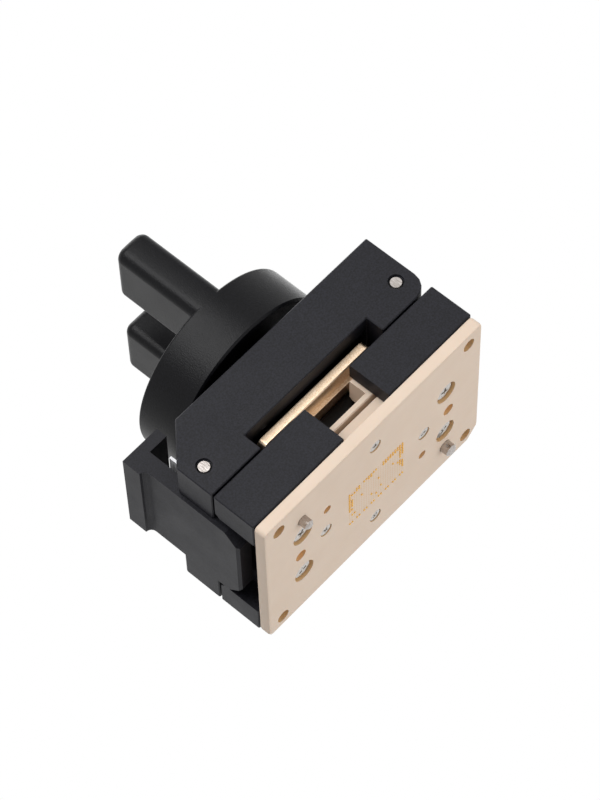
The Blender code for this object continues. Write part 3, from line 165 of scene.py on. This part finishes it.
def milledPeek(name, look, field=None):
    material, tree, shader = startMaterial(name, {
        "Subsurface Weight": look["subsurface"], "Subsurface Scale": look["depthMm"] * mm,
        "Subsurface Radius": look["colourDepth"], "Specular IOR Level": look["specular"],
    })
    coords = addNode(tree, "ShaderNodeTexCoord")
    cloud = addNode(tree, "ShaderNodeTexNoise", {"Scale": 1 / (look["cloudMm"] * mm), "Detail": 5.0},
                    {"Vector": (coords, "Object")})
    along = addNode(tree, "ShaderNodeMapping", {"Scale": look["stretch"]}, {"Vector": (coords, "Object")})
    cutter = addNode(tree, "ShaderNodeTexNoise", {"Scale": 1 / (look["millingMm"] * mm), "Detail": 2.0},
                     {"Vector": (along, "Vector")})
    tone = addNode(tree, "ShaderNodeMix",
                   {"data_type": "RGBA", "A": linear(look["dark"]), "B": linear(look["light"])},
                   {"Factor": (cloud, "Fac")})
    rough = addNode(tree, "ShaderNodeMapRange",
                    {**noiseSpread, "To Min": look["roughness"][0], "To Max": look["roughness"][1]},
                    {"Value": (cutter, "Fac")})
    relief = addNode(tree, "ShaderNodeBump",
                     {"Strength": look["relief"], "Distance": look["millingDepthMm"] * mm},
                     {"Height": (cutter, "Fac")})
    colour = tone
    if field:
        # A drilled hole at every ball position is drawn as a small dot on the board face, in a warm, darker
        # tone that is painted shade and glow from inside the hole
        step = field["pitchMm"] * mm
        centre = Vector(field["centreMm"]) * mm
        corner = -centre / step
        cells = addNode(tree, "ShaderNodeMapping",
                        {"Location": (corner.x, corner.y, 0), "Scale": (1 / step, 1 / step, 0)},
                        {"Vector": (coords, "Object")})
        nearest = addNode(tree, "ShaderNodeVectorMath", {"operation": "SNAP", 1: (1, 1, 1)})
        shifted = addNode(tree, "ShaderNodeVectorMath", {"operation": "ADD", 1: (0.5, 0.5, 0.5)},
                          {0: (cells, "Vector")})
        tree.links.new(shifted.outputs["Vector"], nearest.inputs[0])
        offset = addNode(tree, "ShaderNodeVectorMath", {"operation": "DISTANCE"},
                         {0: (cells, "Vector"), 1: (nearest, "Vector")})
        solid, clear = field["dotEdge"]
        dot = addNode(tree, "ShaderNodeMapRange",
                      {"From Min": solid, "From Max": clear, "To Min": 1.0, "To Max": 0.0},
                      {"Value": (offset, "Value")})
        fromCentre = addNode(tree, "ShaderNodeVectorMath", {"operation": "ABSOLUTE"}, {0: (cells, "Vector")})
        reach = addNode(tree, "ShaderNodeSeparateXYZ", None, {"Vector": (fromCentre, "Vector")})
        inX = addNode(tree, "ShaderNodeMath", {"operation": "LESS_THAN", 1: field["columns"] / 2},
                      {0: (reach, "X")})
        inY = addNode(tree, "ShaderNodeMath", {"operation": "LESS_THAN", 1: field["rows"] / 2},
                      {0: (reach, "Y")})
        height = addNode(tree, "ShaderNodeSeparateXYZ", None, {"Vector": (coords, "Object")})
        onFace = addNode(tree, "ShaderNodeMath", {"operation": "LESS_THAN", 1: field["faceMm"] * mm},
                         {0: (height, "Z")})
        area = addNode(tree, "ShaderNodeMath", {"operation": "MULTIPLY"}, {0: (inX, 0), 1: (inY, 0)})
        spot = addNode(tree, "ShaderNodeMath", {"operation": "MULTIPLY"}, {0: (area, 0), 1: (dot, "Result")})
        mask = addNode(tree, "ShaderNodeMath", {"operation": "MULTIPLY"}, {0: (spot, 0), 1: (onFace, 0)})
        faint = addNode(tree, "ShaderNodeMath", {"operation": "MULTIPLY", 1: field["dotShare"]},
                        {0: (mask, 0)})
        dotted = addNode(tree, "ShaderNodeMix", {"data_type": "RGBA", "B": linear(field["hole"])},
                         {"Factor": (faint, 0), "A": (tone, "Result")})
        # Painted glow: the bore walls are painted amber for the light that comes through the polymer and
        # bounces inside the bores
        middle = (Vector(paintedBoreGlow["fromMm"]) + Vector(paintedBoreGlow["toMm"])) / 2 * mm
        half = (Vector(paintedBoreGlow["toMm"]) - Vector(paintedBoreGlow["fromMm"])) / 2 * mm
        fromMiddle = addNode(tree, "ShaderNodeVectorMath", {"operation": "SUBTRACT", 1: middle},
                             {0: (coords, "Object")})
        inHalves = addNode(tree, "ShaderNodeVectorMath", {"operation": "DIVIDE", 1: half},
                           {0: (fromMiddle, "Vector")})
        farthest = addNode(tree, "ShaderNodeVectorMath", {"operation": "ABSOLUTE"}, {0: (inHalves, "Vector")})
        sides = addNode(tree, "ShaderNodeSeparateXYZ", None, {"Vector": (farthest, "Vector")})
        inPlan = addNode(tree, "ShaderNodeMath", {"operation": "MAXIMUM"}, {0: (sides, "X"), 1: (sides, "Y")})
        inBlock = addNode(tree, "ShaderNodeMath", {"operation": "MAXIMUM"}, {0: (inPlan, 0), 1: (sides, "Z")})
        bored = addNode(tree, "ShaderNodeMath", {"operation": "LESS_THAN", 1: 1.0}, {0: (inBlock, 0)})
        paintedGlowShare = addNode(tree, "ShaderNodeMath", {"operation": "MULTIPLY", 1: paintedBoreGlow["share"]},
                       {0: (bored, 0)})
        colour = addNode(tree, "ShaderNodeMix", {"data_type": "RGBA", "B": linear(paintedBoreGlow["colour"])},
                         {"Factor": (paintedGlowShare, 0), "A": (dotted, "Result")})
    tree.links.new(colour.outputs["Result"], shader.inputs["Base Color"])
    tree.links.new(rough.outputs["Result"], shader.inputs["Roughness"])
    tree.links.new(relief.outputs["Normal"], shader.inputs["Normal"])
    return material


# Metals: linesMm is the spacing of the marks, drawn coarser than real ones to show, and stretch draws them
# out one way. Face-milled brass: pale gold and satin, because the cutter's marks scatter the light
brass = {
    "dark": "#dcbb93", "light": "#fce8d2", "roughness": (0.36, 0.46),
    "linesMm": 0.12, "stretch": (0.45, 1.0, 1.0), "depthMm": 0.001, "relief": 0.3,
}
# Ground stainless steel: grey, with fairly sharp reflections
groundSteel = {
    "dark": "#a39b95", "light": "#c6c0bc", "roughness": (0.16, 0.24),
    "linesMm": 0.2, "stretch": (1.0, 1.0, 0.2), "depthMm": 0.0008, "relief": 0.3,
}
# Cold-headed stainless steel: smoother and a little brighter than the ground pins
screwSteel = {
    "dark": "#b0aaa4", "light": "#d6d1cc", "roughness": (0.1, 0.2),
    "linesMm": 0.25, "stretch": (1.0, 1.0, 1.0), "depthMm": 0.002, "relief": 0.3,
}
# Rolled spring steel: pale and matt
springSteel = {
    "dark": "#d4d4d6", "light": "#f2f2f4", "roughness": (0.72, 0.82),
    "linesMm": 0.2, "stretch": (1.0, 0.12, 1.0), "depthMm": 0.004, "relief": 0.3,
}
# Hard gold plate: yellow and softly bright
goldPlate = {
    "dark": "#dfa440", "light": "#f8d482", "roughness": (0.3, 0.42),
    "linesMm": 0.1, "stretch": (1.0, 1.0, 1.0), "depthMm": 0.001, "relief": 0.3,
}


def cutMetal(name, look):
    material, tree, shader = startMaterial(name, {"Metallic": 1.0})
    coords = addNode(tree, "ShaderNodeTexCoord")
    drawn = addNode(tree, "ShaderNodeMapping", {"Scale": look["stretch"]}, {"Vector": (coords, "Object")})
    marks = addNode(tree, "ShaderNodeTexNoise", {"Scale": 1 / (look["linesMm"] * mm), "Detail": 3.0},
                    {"Vector": (drawn, "Vector")})
    spread = addNode(tree, "ShaderNodeMapRange", noiseSpread, {"Value": (marks, "Fac")})
    tone = addNode(tree, "ShaderNodeMix",
                   {"data_type": "RGBA", "A": linear(look["dark"]), "B": linear(look["light"])},
                   {"Factor": (spread, "Result")})
    rough = addNode(tree, "ShaderNodeMapRange",
                    {**noiseSpread, "To Min": look["roughness"][0], "To Max": look["roughness"][1]},
                    {"Value": (marks, "Fac")})
    relief = addNode(tree, "ShaderNodeBump",
                     {"Strength": look["relief"], "Distance": look["depthMm"] * mm},
                     {"Height": (marks, "Fac")})
    tree.links.new(tone.outputs["Result"], shader.inputs["Base Color"])
    tree.links.new(rough.outputs["Result"], shader.inputs["Roughness"])
    tree.links.new(relief.outputs["Normal"], shader.inputs["Normal"])
    return material


finishes = {
    "black_anodised": blackFinish("bead-blasted black anodised aluminium", anodised),
    "black_knob": blackFinish("vapour-blasted black acetal", acetal),
    "beige_polymer": milledPeek("milled natural peek", peek),
    "brass": cutMetal("face-milled brass", brass),
    "steel": cutMetal("ground stainless steel", groundSteel),
    "spring_steel": cutMetal("rolled spring steel", springSteel),
}
ownFinishes = {
    "board face": milledPeek("milled natural peek with drilled probe holes", peek, probeField),
    "screws": cutMetal("cold-headed stainless steel", screwSteel),
    "probe tips": cutMetal("hard gold plate on beryllium copper", goldPlate),
    "pusher": blackFinish("moulded black polymer", moulded),
}
for name, piece in nodes.items():
    piece.data.materials.clear()
    piece.data.materials.append(finishes[slotOf[name]])
print("finishes made:", len(finishes) + len(ownFinishes))


def shadeByAngle(piece, degrees):
    piece.data.shade_smooth()
    piece.data.set_sharp_from_angle(angle=math.radians(degrees))
    weighted = piece.modifiers.new("weighted normals", "WEIGHTED_NORMAL")
    weighted.keep_sharp = True


def newPiece(name, shape, finish, body, smoothDegrees=30):
    bmesh.ops.remove_doubles(shape, verts=shape.verts, dist=weld)
    bmesh.ops.recalc_face_normals(shape, faces=shape.faces)
    mesh = bpy.data.meshes.new(name)
    shape.to_mesh(mesh)
    shape.free()
    stored = mesh.attributes.get("custom_normal")   # a merged copy's old normals no longer fit it
    if stored:
        mesh.attributes.remove(stored)
    piece = bpy.data.objects.new(name, mesh)
    bpy.context.scene.collection.objects.link(piece)
    piece.data.materials.append(finish)
    shadeByAngle(piece, smoothDegrees)
    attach(piece, body)
    return piece


# The solids are faceted: rounds shade smoothly up to smoothDegrees, and brass and latch keep more edges
merging = {"distanceMm": 0.002, "flatDegrees": 0.05, "smoothDegrees": 32, "crispDegrees": 18}


def smoothCopy(node, finish):
    source = nodes[node]
    shape = bmesh.new()
    shape.from_mesh(source.data)
    bmesh.ops.remove_doubles(shape, verts=shape.verts, dist=merging["distanceMm"] * mm)
    bmesh.ops.dissolve_degenerate(shape, edges=shape.edges, dist=merging["distanceMm"] * mm)
    bmesh.ops.dissolve_limit(shape, angle_limit=math.radians(merging["flatDegrees"]),
                             use_dissolve_boundaries=False, verts=shape.verts, edges=shape.edges)
    crisp = slotOf[node] == "brass" or node == "latch"
    piece = newPiece(node + "_dressed", shape, finish, bodyOf[node],
                     merging["crispDegrees" if crisp else "smoothDegrees"])
    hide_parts(node)


def quarterTurn(steps):
    return [math.pi / 2 * i / steps for i in range(steps + 1)]


def spun(profile, steps):
    shape = bmesh.new()
    points = [shape.verts.new((radius * mm, 0, height * mm)) for radius, height in profile]
    edges = [shape.edges.new(pair) for pair in zip(points, points[1:])]
    bmesh.ops.spin(shape, geom=points + edges, cent=(0, 0, 0), axis=(0, 0, 1), angle=2 * math.pi,
                   steps=steps, use_merge=True)
    bmesh.ops.remove_doubles(shape, verts=shape.verts, dist=weld)
    bmesh.ops.recalc_face_normals(shape, faces=shape.faces)
    return shape


def withTools(shape, tools, operation):
    target = bpy.data.objects.new("target", bpy.data.meshes.new("target"))
    shape.to_mesh(target.data)
    shape.free()
    bpy.context.scene.collection.objects.link(target)
    helpers = []
    for tool in tools:
        helper = bpy.data.objects.new("helper", bpy.data.meshes.new("helper"))
        bmesh.ops.recalc_face_normals(tool, faces=tool.faces)
        tool.to_mesh(helper.data)
        tool.free()
        bpy.context.scene.collection.objects.link(helper)
        boolean = target.modifiers.new("cut", "BOOLEAN")
        boolean.operation = operation
        boolean.solver = "EXACT"
        boolean.object = helper
        helpers.append(helper)
    bpy.context.view_layer.update()
    result = target.evaluated_get(bpy.context.evaluated_depsgraph_get())
    cut = bmesh.new()
    cut.from_mesh(result.to_mesh())
    result.to_mesh_clear()
    for helper in helpers + [target]:
        mesh = helper.data
        bpy.data.objects.remove(helper)
        bpy.data.meshes.remove(mesh)
    return cut


# Knob: a turned disk with two milled wings whose outer ends carry on from its side
knobShape = {
    "radius": 15.0, "diskHeight": 7.8, "rim": 0.35, "foot": 0.3, "neck": (5.05, 4.05),
    "screwBore": 1.55, "screwSeat": 4.5, "screwHead": 2.83,
    "wingWidth": 5.8, "wingInner": 4.2, "wingInset": 0.004, "wingRoot": 2.0, "wingCorner": 1.5,
    "wingTop": 1.2, "steps": 160, "arcSteps": 8,
}


def knobWing(side, low, high):
    look = knobShape
    reach = (look["radius"] - look["wingInset"]) * mm
    inner = look["wingInner"] * mm
    shape = bmesh.new()
    bmesh.ops.create_cube(shape, size=1)
    bmesh.ops.scale(shape, vec=(look["wingWidth"] * mm, reach - inner, high - low), verts=shape.verts)
    bmesh.ops.translate(shape, vec=(0, (reach + inner) / 2, (high + low) / 2), verts=shape.verts)
    upright = [e for e in shape.edges if (e.verts[0].co - e.verts[1].co).xy.length < tiny]
    bmesh.ops.bevel(shape, geom=upright, offset=look["wingCorner"] * mm, affect="EDGES",
                    segments=look["arcSteps"], profile=0.5, material=-1)
    outer = [e for e in shape.edges if all(v.co.y > reach - tiny for v in e.verts)
             and abs(e.verts[0].co.x - e.verts[1].co.x) > look["wingCorner"] * mm]
    bmesh.ops.subdivide_edges(shape, edges=outer, cuts=look["arcSteps"] - 1)
    # The outer end follows the disk's round side
    for vert in shape.verts:
        if vert.co.y > (reach + inner) / 2:
            vert.co.y -= reach - math.sqrt(reach ** 2 - vert.co.x ** 2)
    crown = [e for e in shape.edges if all(v.co.z > high - tiny for v in e.verts)]
    bmesh.ops.bevel(shape, geom=crown, offset=look["wingTop"] * mm, affect="EDGES",
                    segments=look["arcSteps"], profile=0.5, material=-1)
    if side < 0:
        bmesh.ops.rotate(shape, cent=(0, 0, 0), matrix=Matrix.Rotation(math.pi, 3, "Z"), verts=shape.verts)
    return shape


def makeKnob():
    look = knobShape
    low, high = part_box("knob")
    bottom = low[2] / mm
    top = bottom + look["diskHeight"]
    neckRadius, neckHeight = look["neck"]
    seat = bottom + look["screwSeat"]
    radius, rim = look["radius"], look["rim"]
    profile = [
        (look["screwBore"], seat), (look["screwHead"], seat), (look["screwHead"], top), (radius - rim, top)]
    profile += [(radius - rim * (1 - math.sin(a)), top - rim * (1 - math.cos(a)))
                for a in quarterTurn(look["arcSteps"])[1:]]
    profile += [
        (radius, bottom + look["foot"]), (radius - look["foot"], bottom), (neckRadius, bottom),
        (neckRadius, bottom + neckHeight), (look["screwBore"], bottom + neckHeight),
        (look["screwBore"], seat)]
    disk = spun(profile, look["steps"])
    root = (top - look["wingRoot"]) * mm
    whole = withTools(disk, [knobWing(1, root, high[2]), knobWing(-1, root, high[2])], "UNION")
    piece = newPiece("winged_knob", whole, finishes["black_knob"], bodyOf["knob"])
    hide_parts("knob")


makeKnob()
print("knob turned and winged")


# Cross-recessed screws, seen from the board face: cheese heads in the body, small ones in the guide block
screwKinds = {
    "body_screw": {
        "head": 1.6, "headHeight": 0.75, "shank": 0.95, "edge": 0.22, "arm": 2.0, "slot": 0.42, "deep": 0.55},
    "guide_screw": {
        "head": 1.05, "headHeight": 0.6, "shank": 0.6, "edge": 0.1, "arm": 1.35, "slot": 0.3, "deep": 0.4},
}
# Turns are in radians, one for each screw of a kind. The recess narrows to taper of its length and width
screwShape = {"turns": (0.5, 1.25, 0.2, 0.9), "steps": 48, "edgeSteps": 4, "tip": 0.2, "taper": (0.45, 0.7)}


def crossRecess(kind, bottom, turn):
    tools = []
    for quarter in (0, 1):
        arm = bmesh.new()
        bmesh.ops.create_cube(arm, size=1)
        size = Vector((kind["arm"], kind["slot"], 2 * kind["deep"])) * mm
        bmesh.ops.scale(arm, vec=size, verts=arm.verts)
        for vert in arm.verts:
            if vert.co.z > 0:
                vert.co.x *= screwShape["taper"][0]
                vert.co.y *= screwShape["taper"][1]
        angle = turn + quarter * math.pi / 2
        bmesh.ops.rotate(arm, cent=(0, 0, 0), matrix=Matrix.Rotation(angle, 3, "Z"), verts=arm.verts)
        bmesh.ops.translate(arm, vec=(0, 0, bottom), verts=arm.verts)
        tools.append(arm)
    return tools


def makeScrew(node, kind, turn):
    low, high = (Vector(corner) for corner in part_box(node))
    middle = (low + high) / 2
    base, end, edge = low.z / mm, high.z / mm, kind["edge"]
    seat = base + kind["headHeight"]
    tip = screwShape["tip"]
    rounded = [(kind["head"] - edge * (1 - math.sin(a)), base + edge * (1 - math.cos(a)))
               for a in quarterTurn(screwShape["edgeSteps"])]
    profile = [(0, base)] + rounded + [
        (kind["head"], seat), (kind["shank"], seat), (kind["shank"], end - tip), (kind["shank"] - tip, end),
        (0, end)]
    shape = spun(profile, screwShape["steps"])
    shape = withTools(shape, crossRecess(kind, low.z, turn), "DIFFERENCE")
    bmesh.ops.translate(shape, vec=(middle.x, middle.y, 0), verts=shape.verts)
    piece = newPiece(node + "_cross_head", shape, ownFinishes["screws"], bodyOf[node])
    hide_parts(node)


for name, kind in screwKinds.items():
    for number, turn in enumerate(screwShape["turns"], 1):
        makeScrew(name + "_" + str(number), kind, turn)
print("screws cut")


# Contact probes: gold plated tips, one over each short stub on the board face
probeTip = {
    "radius": 0.15, "height": 0.17, "root": 0.1, "round": 0.05, "roundSteps": 2, "sides": 12,
    "smoothDegrees": 40,
}


def makeProbes():
    look = probeTip
    step = probeField["pitchMm"] * mm
    centre = Vector(probeField["centreMm"]) * mm
    below = [vert.co for vert in nodes["base_plate"].data.vertices if vert.co.z < -probeField["faceMm"] * mm]
    cells = {(round((point.x - centre.x) / step), round((point.y - centre.y) / step)) for point in below}
    shape = bmesh.new()
    for column, row in sorted(cells):
        tip = bmesh.ops.create_cone(shape, cap_ends=True, segments=look["sides"], radius1=look["radius"] * mm,
                                    radius2=look["radius"] * mm, depth=(look["height"] + look["root"]) * mm)
        verts = tip["verts"]
        middle = (look["root"] - look["height"]) / 2 * mm
        bmesh.ops.translate(shape, vec=(centre.x + column * step, centre.y + row * step, middle), verts=verts)
        edges = dict.fromkeys(e for v in verts for e in v.link_edges)   # each one once, in a fixed order
        rim = [e for e in edges if all(end.co.z < 0 for end in e.verts)]
        bmesh.ops.bevel(shape, geom=rim, offset=look["round"] * mm, affect="EDGES",
                        segments=look["roundSteps"], profile=0.5, material=-1)
    newPiece("probe_tips", shape, ownFinishes["probe tips"], "base", look["smoothDegrees"])
    print("probe tips:", len(cells))


makeProbes()


# Pusher: a black block with its edges broken, longer than its solid, so that it nearly fills the chip pocket
pusherShape = {"addLengthMm": 2.7, "edgeMm": 0.2, "edgeSteps": 3}


def makePusher():
    low, high = (Vector(corner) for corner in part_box("pusher_block"))
    size = high - low + Vector((pusherShape["addLengthMm"] * mm, 0, 0))
    shape = bmesh.new()
    bmesh.ops.create_cube(shape, size=1)
    bmesh.ops.scale(shape, vec=size, verts=shape.verts)
    bmesh.ops.translate(shape, vec=(low + high) / 2, verts=shape.verts)
    bmesh.ops.bevel(shape, geom=shape.edges[:], offset=pusherShape["edgeMm"] * mm, affect="EDGES",
                    segments=pusherShape["edgeSteps"], profile=0.5, material=-1)
    piece = newPiece("chip_pusher", shape, ownFinishes["pusher"], bodyOf["pusher_block"])
    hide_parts("pusher_block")


makePusher()
print("pusher cut")


# All other pieces are their solids with smooth shading
special = {"base_plate": ownFinishes["board face"], "knob_stem": ownFinishes["pusher"]}
for name in nodes:
    if name in ("knob", "pusher_block") or name.startswith(tuple(screwKinds)):
        continue
    smoothCopy(name, special.get(name, finishes[slotOf[name]]))
print("machined pieces smoothed")


# Camera at the photograph's place: a long lens, from below and in front of the latch
cameraView = {
    "focalPixels": 3353.21, "imageHeight": 800, "sensorMm": 36, "clipStart": 0.01,
    "turn": (0.956957, -0.75244, -0.446796), "offsetMm": (10.4121, 11.2502, 462.2465),
}


def placeCamera():
    view = cameraView
    turn = Vector(view["turn"])
    toCamera = Matrix.Rotation(turn.length, 3, turn.normalized())
    place = -(toCamera.transposed() @ Vector(view["offsetMm"])) * mm
    right, down, ahead = toCamera[0], toCamera[1], toCamera[2]
    facing = Matrix((right, -down, -ahead)).transposed()
    lens = bpy.data.cameras.new("productCamera")
    lens.sensor_fit = "VERTICAL"
    lens.sensor_height = view["sensorMm"]
    lens.lens = view["focalPixels"] * view["sensorMm"] / view["imageHeight"]
    lens.clip_start = view["clipStart"]
    camera = bpy.data.objects.new("productCamera", lens)
    bpy.context.scene.collection.objects.link(camera)
    camera.matrix_world = Matrix.Translation(place) @ facing.to_4x4()
    bpy.context.scene.camera = camera


# Studio: pale paper, a wide key lamp in front, a small lamp behind the hinge, one below for the board face
# and one above. A lamp's size is its width and height, and distance is how far all of them stand off
studio = {
    # paintedShadowMm is how far from the part the painted contact shadow on the paper reaches
    "floor": "#f4f4f4", "floorRoughness": 0.9, "floorHalf": 0.6, "floorGapMm": 0.05, "paintedShadowMm": 9.0,
    "worldLevel": 0.4, "distance": 0.5,
    "lamps": {
        "keyLamp": {"from": (-0.2, -0.89, 0.39), "size": (0.46, 0.24), "power": 1.95},
        "rimLamp": {"from": (0.65, 0.66, 0.38), "size": (0.2, 0.2), "power": 0.13},
        "boardLamp": {"from": (0.25, -0.3, -1.0), "size": (0.5, 0.5), "power": 1.62},
        "topLamp": {"from": (0.5, 0.1, 1.0), "size": (0.4, 0.4), "power": 0.8},
    },
}


def makeFloor():
    shape = bmesh.new()
    bmesh.ops.create_grid(shape, x_segments=1, y_segments=1, size=studio["floorHalf"])
    # Just below the pins, whose flat ends it would otherwise meet
    bmesh.ops.translate(shape, vec=(0, 0, cadBox[0][2] - studio["floorGapMm"] * mm), verts=shape.verts)
    mesh = bpy.data.meshes.new("floor")
    shape.to_mesh(mesh)
    shape.free()
    floor = bpy.data.objects.new("floor", mesh)
    bpy.context.scene.collection.objects.link(floor)
    # From above the camera sees pale paper with the part's shadow, and from below nothing. Metal and glass
    # show the same pale colour, and other light passes, so that the board face isn't left in the dark
    material, tree, shader = startMaterial("pale studio paper", {"Roughness": studio["floorRoughness"]})
    # Painted contact shadow: the paper's colour is darkened close to the part, where light that comes through
    # the paper would wash out its shadow
    paintedShadow = addNode(tree, "ShaderNodeAmbientOcclusion",
                      {"Color": linear(studio["floor"]), "Distance": studio["paintedShadowMm"] * mm})
    tree.links.new(paintedShadow.outputs["Color"], shader.inputs["Base Color"])
    path = addNode(tree, "ShaderNodeLightPath")
    geometry = addNode(tree, "ShaderNodeNewGeometry")
    above = addNode(tree, "ShaderNodeMath", {"operation": "SUBTRACT", 0: 1.0}, {1: (geometry, "Backfacing")})
    shown = addNode(tree, "ShaderNodeMath", {"operation": "MULTIPLY"},
                    {0: (path, "Is Camera Ray"), 1: (above, 0)})
    mirrored = addNode(tree, "ShaderNodeMath", {"operation": "MAXIMUM"},
                       {0: (path, "Is Glossy Ray"), 1: (path, "Is Transmission Ray")})
    reflected = addNode(tree, "ShaderNodeMath", {"operation": "MULTIPLY"},
                        {0: (mirrored, 0), 1: (above, 0)})
    clear = addNode(tree, "ShaderNodeBsdfTransparent")
    plain = addNode(tree, "ShaderNodeEmission", {"Color": linear(studio["floor"]), "Strength": 1.0})
    paper = addNode(tree, "ShaderNodeMixShader", None, {0: (shown, 0), 1: (clear, 0), 2: (shader, 0)})
    mixer = addNode(tree, "ShaderNodeMixShader", None, {0: (reflected, 0), 1: (paper, 0), 2: (plain, 0)})
    tree.links.new(mixer.outputs[0], tree.nodes["Material Output"].inputs["Surface"])
    floor.data.materials.append(material)


def makeWorld():
    world = bpy.data.worlds.new("studio")
    bpy.context.scene.world = world
    world.use_nodes = True
    tree = world.node_tree
    background = tree.nodes["Background"]
    path = addNode(tree, "ShaderNodeLightPath")
    direct = addNode(tree, "ShaderNodeMath", {"operation": "MAXIMUM"},
                     {0: (path, "Is Camera Ray"), 1: (path, "Is Glossy Ray")})
    seen = addNode(tree, "ShaderNodeMath", {"operation": "MAXIMUM"},
                   {0: (direct, 0), 1: (path, "Is Transmission Ray")})
    level = addNode(tree, "ShaderNodeMapRange", {"To Min": studio["worldLevel"], "To Max": 1.0},
                    {"Value": (seen, 0)})
    tree.links.new(level.outputs["Result"], background.inputs["Strength"])
    background.inputs["Color"].default_value = (1, 1, 1, 1)


def makeLamp(name, look):
    lamp = bpy.data.lights.new(name, "AREA")
    lamp.shape = "RECTANGLE"
    lamp.size, lamp.size_y = look["size"]
    lamp.energy = look["power"]
    holder = bpy.data.objects.new(name, lamp)
    bpy.context.scene.collection.objects.link(holder)
    place = Vector(look["from"]).normalized() * studio["distance"]
    holder.matrix_world = Matrix.Translation(place) @ place.to_track_quat("Z", "Y").to_matrix().to_4x4()


placeCamera()
makeFloor()
makeWorld()
for name, look in studio["lamps"].items():
    makeLamp(name, look)
bpy.context.scene.view_settings.view_transform = "Standard"
print("camera, floor and lamps placed")
